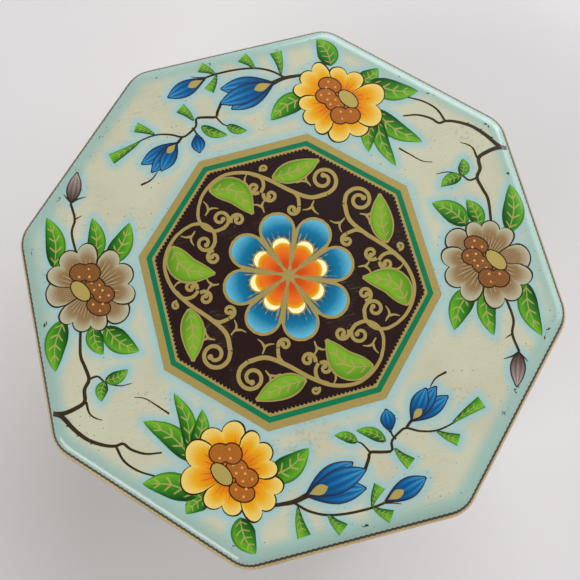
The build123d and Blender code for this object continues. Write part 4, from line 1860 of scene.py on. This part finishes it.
@dataclass
class PowderPuff:
    """Plush pad, gathered satin back, twisted piping and the band for the fingers."""

    pleats: int = 44
    tufts: int = 9000
    tuft_room: float = 1.6
    pad_bend: float = 3.2
    back_room: float = 0.5
    band_thickness: float = 0.4

    def build(self) -> None:
        """Build the puff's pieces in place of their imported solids."""
        self.pad()
        self.back()
        self.piping()
        self.ribbon()

    @staticmethod
    def inflate(name: str, bm: BMesh, voxel: float, cap: float) -> Object:
        """Blow a closed shell up as cloth, and cap how far any point moves.

        Args:
            name: name of the object.
            bm: the shell in millimetres, a little smaller than the finished piece.
            voxel: size of the remesh in millimetres.
            cap: largest movement in millimetres.

        Returns:
            The object, with its simulated shape applied.
        """
        mesh = bpy.data.meshes.new(name)
        bmesh.ops.scale(bm, vec=(MM, MM, MM), verts=bm.verts)
        bm.to_mesh(mesh)
        bm.free()
        piece = stand_up(name, mesh)
        remesh = piece.modifiers.new("remesh", "REMESH")
        remesh.mode = "VOXEL"
        remesh.voxel_size = voxel * MM
        PowderPuff.apply(piece)
        start = [vert.co.copy() for vert in piece.data.vertices]
        cloth = piece.modifiers.new("cloth", "CLOTH")
        cloth.settings.use_pressure = True
        cloth.settings.uniform_pressure_force = 4
        cloth.settings.effector_weights.gravity = 0
        for number in range(1, 21):
            bpy.context.scene.frame_set(number)
        PowderPuff.apply(piece)
        bpy.context.scene.frame_set(1)
        for vert, before in zip(piece.data.vertices, start):
            move = vert.co - before
            if move.length > cap * MM:
                vert.co = before + move.normalized() * cap * MM
        smooth = piece.modifiers.new("subdivision", "SUBSURF")
        smooth.levels = smooth.render_levels = 1
        PowderPuff.apply(piece)
        return piece

    @staticmethod
    def apply(piece: Object) -> None:
        """Apply every modifier.

        Args:
            piece: the object that has them.
        """
        shaped = piece.evaluated_get(bpy.context.evaluated_depsgraph_get())
        mesh = bpy.data.meshes.new_from_object(shaped)
        piece.modifiers.clear()
        piece.data = mesh

    @staticmethod
    def upholster(piece: Object, node: str, finish: str) -> None:
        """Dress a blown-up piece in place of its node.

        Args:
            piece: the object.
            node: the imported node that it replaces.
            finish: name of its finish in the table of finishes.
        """
        for polygon in piece.data.polygons:
            polygon.use_smooth = True
        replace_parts(dress(piece, FINISH[finish], "puff"), node)

    def pad(self) -> None:
        """Plush pad with a pile of short tufts."""
        low, high = box_mm("puff_pile")
        radius, bottom, top = high.x - self.tuft_room, low.z + 1.1, high.z - 0.9
        inner, middle, half = radius - self.pad_bend, (bottom + top) / 2, (top - bottom) / 2
        profile = [(0.0, bottom), (radius * 0.5, bottom), (inner, bottom)]
        for k in range(1, 9):
            angle = -math.pi / 2 + math.pi * k / 8
            profile.append((inner + self.pad_bend * math.cos(angle), middle + half * math.sin(angle)))
        profile += [(radius * 0.5, top), (0.0, top)]
        pad = self.inflate("puff_pad", spun_shell(profile, 96), 2.4, 0.7)
        for vert in pad.data.vertices:
            vert.co.z = clamp(vert.co.z, (bottom - 0.6) * MM, (top + 0.5) * MM)
        self.upholster(pad, "puff_pile", "plush")
        self.pile(pad, low.z - 0.1, high.z + 0.1)

    def pile(self, pad: Object, floor: float, ceiling: float) -> None:
        """Short tufts all over the pad, each a closed cone, kept off the sifter and the piping.

        Args:
            pad: the pad that they grow on.
            floor: height in millimetres that no tuft goes under.
            ceiling: height that no tuft goes over.
        """
        dice = random.Random(11)
        faces = list(pad.data.polygons)
        bm = bmesh.new()
        for polygon in dice.choices(faces, weights=[face.area for face in faces], k=self.tufts):
            root = polygon.center / MM
            lean = Vector((dice.gauss(0, 0.5), dice.gauss(0, 0.5), dice.gauss(0, 0.5)))
            way = (polygon.normal + lean).normalized()
            side = way.orthogonal().normalized()
            root = root + side * dice.uniform(-0.8, 0.8) + way.cross(side) * dice.uniform(-0.8, 0.8)
            length, half = dice.uniform(1.1, 1.9), dice.uniform(0.3, 0.46)
            corners = [bm.verts.new(root + Matrix.Rotation(2 * math.pi * k / 4, 3, way) @ side * half)
                       for k in range(4)]
            peak = bm.verts.new(root + way * length)
            bm.faces.new(reversed(corners))
            for k in range(4):
                bm.faces.new((corners[k], corners[(k + 1) % 4], peak))
        for vert in bm.verts:
            vert.co.z = clamp(vert.co.z, floor, ceiling)
            vert.co *= MM
        tufts = finish_piece(bm, "puff_tufts", FINISH["plush"], "puff", smooth=True)
        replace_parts(tufts, "puff_pile")

    def back(self) -> None:
        """Satin back, blown up over the wadding and gathered into the piping."""
        low, high = box_mm("puff_back")
        radius, bottom = high.x - self.back_room, low.z + 0.2
        rise = high.z - bottom - 1.3
        sphere = (radius ** 2 + rise ** 2) / (2 * rise)
        profile = [(0.0, bottom), (radius * 0.5, bottom), (radius, bottom)]
        for k in range(12, -1, -1):
            out = radius * k / 12
            profile.append((out, bottom + rise - sphere + math.sqrt(sphere ** 2 - out ** 2) + 0.5))
        back = self.inflate("puff_satin_back", spun_shell(profile, 120), 1.5, 0.8)
        for vert in back.data.vertices:
            vert.co = self.gathered(vert.co / MM, radius, bottom, high.z) * MM
        self.upholster(back, "puff_back", "satin")

    def gathered(self, point: Vector, radius: float, bottom: float, top: float) -> Vector:
        """Draw a point of the back in where the satin is gathered.

        Args:
            point: the point.
            radius: radius of the back.
            bottom: height of its underside.
            top: height that nothing goes over.

        Returns:
            The point, moved.
        """
        out = math.hypot(point.x, point.y)
        angle = math.atan2(point.y, point.x)
        near = clamp((out / radius - 0.45) / 0.55) ** 1.6
        wander = 0.7 * noise.noise(Vector((math.cos(angle) * 3, math.sin(angle) * 3, 0)))
        fold = abs(math.sin(angle * self.pleats / 2 + wander * 2)) ** 0.8
        over = clamp((point.z - bottom) / 3)
        point.z = max(bottom - 0.1, min(point.z - near * over * 0.75 * (1 - fold), top))
        return point

    def piping(self) -> None:
        """Twisted cord in the seam between the pad and the back."""
        low, high = box_mm("puff_piping")
        thick = (high.z - low.z) / 2
        ring, middle, strands = high.x - thick, (high.z + low.z) / 2, 2

        def where(around: float, across: float) -> Vector:
            """Place on the twisted cord."""
            round_ring, round_cord = around * math.pi, across * math.pi
            bulge = abs(math.cos(strands * round_cord / 2 + 55 * round_ring))
            reach = thick * (0.8 + 0.2 * bulge)
            out = ring + reach * math.cos(round_cord)
            return Vector((out * math.cos(round_ring), out * math.sin(round_ring),
                           middle + reach * math.sin(round_cord)))

        bm = formed_grid(840, 14, where)
        bmesh.ops.remove_doubles(bm, verts=bm.verts, dist=0.01 * MM)
        bmesh.ops.recalc_face_normals(bm, faces=bm.faces)
        piece = finish_piece(bm, "puff_twisted_piping", FINISH["cord"], "puff", smooth=True)
        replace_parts(piece, "puff_piping")

    def ribbon(self) -> None:
        """Ribbed band across the back, held down at both ends."""
        _, high = box_mm("puff_ribbon")
        half_span, half_width, thick = high.x, high.y, self.band_thickness
        dome_low, dome_high = box_mm("puff_back")
        rise, radius = dome_high.z - dome_low.z - 0.7, dome_high.x
        sphere = (radius ** 2 + rise ** 2) / (2 * rise) + (high.z - dome_high.z) - thick / 2
        centre = high.z - thick / 2 - sphere
        swing = math.asin(half_span / sphere)

        def where(along: float, across: float) -> Vector:
            """Place on the cupped band."""
            angle = along * swing
            reach = sphere - 0.12 * abs(across) ** 3 - 0.05 * math.sin(along * 9 + across)
            return Vector((reach * math.sin(angle), across * half_width * (1 - 0.03 * along ** 2),
                           centre + reach * math.cos(angle)))

        bm = formed_grid(90, 14, where)
        bmesh.ops.solidify(bm, geom=bm.faces[:], thickness=thick * MM)
        bmesh.ops.recalc_face_normals(bm, faces=bm.faces)
        piece = finish_piece(bm, "puff_band", FINISH["ribbon"], "puff", smooth=True)
        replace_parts(piece, "puff_ribbon")
        2 * swing * sphere * MM


# ---------------------------------------------------------------- studio


@dataclass(frozen=True)
class Studio:
    """Pale floor, soft light and the camera."""

    lens: float = 34.375
    stand: tuple[float, float, float] = (-5.74, -29.1, 209.0)
    right: tuple[float, float, float] = (0.9700, -0.2430, -0.0082)
    up: tuple[float, float, float] = (0.2406, 0.9546, 0.1757)
    aim: tuple[float, float, float] = (0.0, 0.0, 0.05)

    def camera(self) -> None:
        """Set up the camera, nearly square above the lid."""
        data = bpy.data.cameras.new("camera")
        data.lens = self.lens
        data.sensor_width = 36
        data.clip_start = 0.01
        camera = stand_up("camera", data)
        right = Vector(self.right).normalized()
        up = Vector(self.up)
        up = (up - right * up.dot(right)).normalized()
        turned = Matrix((right, up, right.cross(up))).transposed().to_4x4()
        camera.matrix_world = Matrix.Translation(Vector(self.stand) * MM) @ turned
        bpy.context.scene.camera = camera

    def floor(self) -> None:
        """Pale floor under the tin."""
        bm = bmesh.new()
        bmesh.ops.create_grid(bm, x_segments=8, y_segments=8, size=2.0)
        mesh = bpy.data.meshes.new("floor")
        bm.to_mesh(mesh)
        bm.free()
        sheet = NodeSheet("floor_paint")
        cloud = sheet.noise(120, 3)
        colour = sheet.blend(Paint.FLOOR, Paint.FLOOR_CLOUD, cloud)
        top = sheet.add("ShaderNodeBsdfPrincipled", None, {"Base Color": colour, "Roughness": 0.6})
        below = sheet.add("ShaderNodeBsdfTransparent")
        underside = sheet.add("ShaderNodeNewGeometry", output="Backfacing")
        sheet.add_output(sheet.add("ShaderNodeMixShader", None, {0: underside, 1: top, 2: below}))
        mesh.materials.append(sheet.material)
        stand_up("floor", mesh)

    def light(self, name: str, place: tuple[float, float, float], size: float, height: float, power: float,
              colour: tuple[float, float, float]) -> None:
        """Oblong soft light aimed at the tin.

        Args:
            name: its name.
            place: where it stands, in metres.
            size: its width in metres.
            height: its height in metres.
            power: its power in watts.
            colour: its colour.
        """
        data = bpy.data.lights.new(name, "AREA")
        data.shape = "RECTANGLE"
        data.size = size
        data.size_y = height
        data.energy = power
        data.color = colour
        lamp = stand_up(name, data)
        lamp.location = place
        lamp.rotation_euler = (Vector(self.aim) - Vector(place)).to_track_quat("-Z", "Y").to_euler()

    def room(self) -> None:
        """Soft grey room that is brighter at the horizon than overhead."""
        world = bpy.data.worlds.new("room")
        world.use_nodes = True
        tree = world.node_tree
        kinds = ("ShaderNodeTexCoord", "ShaderNodeSeparateXYZ", "ShaderNodeValToRGB")
        where, parts, ramp = (tree.nodes.new(kind) for kind in kinds)
        ramp.color_ramp.elements[0].color = (0.62, 0.63, 0.66, 1)
        ramp.color_ramp.elements[1].position = 0.8
        ramp.color_ramp.elements[1].color = (0.15, 0.15, 0.155, 1)
        tree.links.new(where.outputs["Generated"], parts.inputs[0])
        tree.links.new(parts.outputs[2], ramp.inputs[0])
        tree.links.new(ramp.outputs[0], tree.nodes["Background"].inputs[0])
        bpy.context.scene.world = world
        bpy.context.scene.view_settings.view_transform = "Standard"

    def build(self) -> None:
        """Build the studio."""
        self.camera()
        self.floor()
        self.light("window", (-1.0, -0.6, 0.72), 1.0, 0.34, 12, (1.0, 0.985, 0.96))
        self.light("far_window", (0.85, 1.05, 0.75), 1.5, 0.8, 24, (0.97, 0.985, 1.0))
        self.light("side_fill", (0.95, 0.1, 0.5), 0.9, 0.5, 5, (0.97, 0.98, 1.0))
        self.room()


GOLD_FILMS = ("medallion_gold", "vines", "leaf_edges", "rosette_edges", "rosette_rims", "rosette_eye")
DRESSED = {"lid_shell": "lid_print", "body_wall": "side_print", "base_plate": "base_tinplate",
           "card_collar": "card", "sifter_plate": "sifter_tinplate", "puff_stuffing": "cotton"}


def mix_finishes() -> None:
    """Mix every finish, the inks by their names in the palettes and the others by their pieces'."""
    recipes = {
        "leaves": LeafInk("leaf_ink", Paint.LEAF_DARK, Paint.LEAF, Paint.LEAF_LIGHT, Paint.LEAF_VEIN),
        "twigs": FlatInk("twig_ink", Paint.TWIG, Paint.OUTLINE),
        "petal_outlines": FlatInk("outline_ink", Paint.OUTLINE),
        "golden_petals": PetalInk("golden_petal_ink", Paint.ORANGE, Paint.YELLOW, Paint.YELLOW_PALE,
                                  Paint.LOBE),
        "taupe_petals": PetalInk("taupe_petal_ink", Paint.TAUPE_LINE, Paint.TAUPE, Paint.TAUPE_PALE,
                                 Paint.TAUPE_PALE, 11.0, 0.3, 0.95, 0.12),
        "golden_lobes": FlatInk("golden_lobe_ink", Paint.LOBE, Paint.COCOA),
        "taupe_lobes": FlatInk("taupe_lobe_ink", Paint.COCOA, Paint.RUST),
        "seed_dots": FlatInk("seed_dot_ink", Paint.LOBE_DOT),
        "seed_gold": FlatInk("seed_gold_ink", Paint.BEAN, metallic=0.2),
        "bud_petals": RibbedInk("bud_ink", Paint.BUD_DARK, Paint.BUD, Paint.BUD_LIGHT),
        "grey_buds": RibbedInk("grey_bud_ink", Paint.OUTLINE, Paint.GREY_BUD, Paint.TAUPE_PALE),
        "medallion_green": FlatInk("emerald_ink", Paint.EMERALD),
        "medallion_ground": FlatInk("aubergine_ink", Paint.AUBERGINE, roughness=0.5),
        "lime_leaves": LeafInk("lime_ink", Paint.LIME_SHADE, Paint.LIME, Paint.LIME, Paint.GOLD_INK),
        "rosette_petals": PetalInk("teal_ink", Paint.TEAL_DARK, Paint.TEAL, Paint.TEAL_LIGHT, Paint.GOLD_INK,
                                   5.0, 0.0, 0.84, 0.34),
        "rosette_inner_petals": BandedInk("flame_ink"),
        "gold": FlatInk("gold_ink", Paint.GOLD_INK, Paint.BEAN, 0.3, 0.4),
        "lid_print": LidPrint(),
        "side_print": SidePrint(),
        "cream_coat": CreamCoat(),
        "base_tinplate": Tinplate("base_tinplate", 0.8),
        "sifter_tinplate": Tinplate("sifter_tinplate", 0.3, 0.8),
        "card": Powder("pulp_card", Paint.PULP, Paint.PULP_DARK, 0.6, 0.12),
        "talc": Powder("talc_powder", Paint.TALC, Paint.TALC_SHADE, 0.3, 0.18),
        "plush": Powder("plush_pile", Paint.PLUSH, Paint.PLUSH_SHADE, 0.4, 0.2),
        "cotton": Powder("cotton_wadding", Paint.COTTON, Paint.TALC_SHADE, 0.8, 0.4),
        "satin": Satin(),
        "cord": Weave("cord_threads", Paint.CORD, Paint.CORD_SHADE, 1600, 6),
        "ribbon": Weave("ribbon_threads", Paint.RIBBON, Paint.RIBBON_SHADE, 90, 2),
    }
    for name, recipe in recipes.items():
        FINISH[name] = recipe.material()
    for name in GOLD_FILMS:
        FINISH[name] = FINISH["gold"]


def main() -> None:
    """Build the studio and every finish and piece, in order."""
    logging.basicConfig(level=logging.INFO, format="%(message)s")
    Studio().build()
    mix_finishes()
    for name, finish in DRESSED.items():
        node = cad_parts[name]
        node.data.materials.clear()
        node.data.materials.append(FINISH[finish])
    LidDecoration().print()
    SideDecoration().print()
    TalcFill().build()
    PowderPuff().build()


if __name__ == "__main__":
    main()
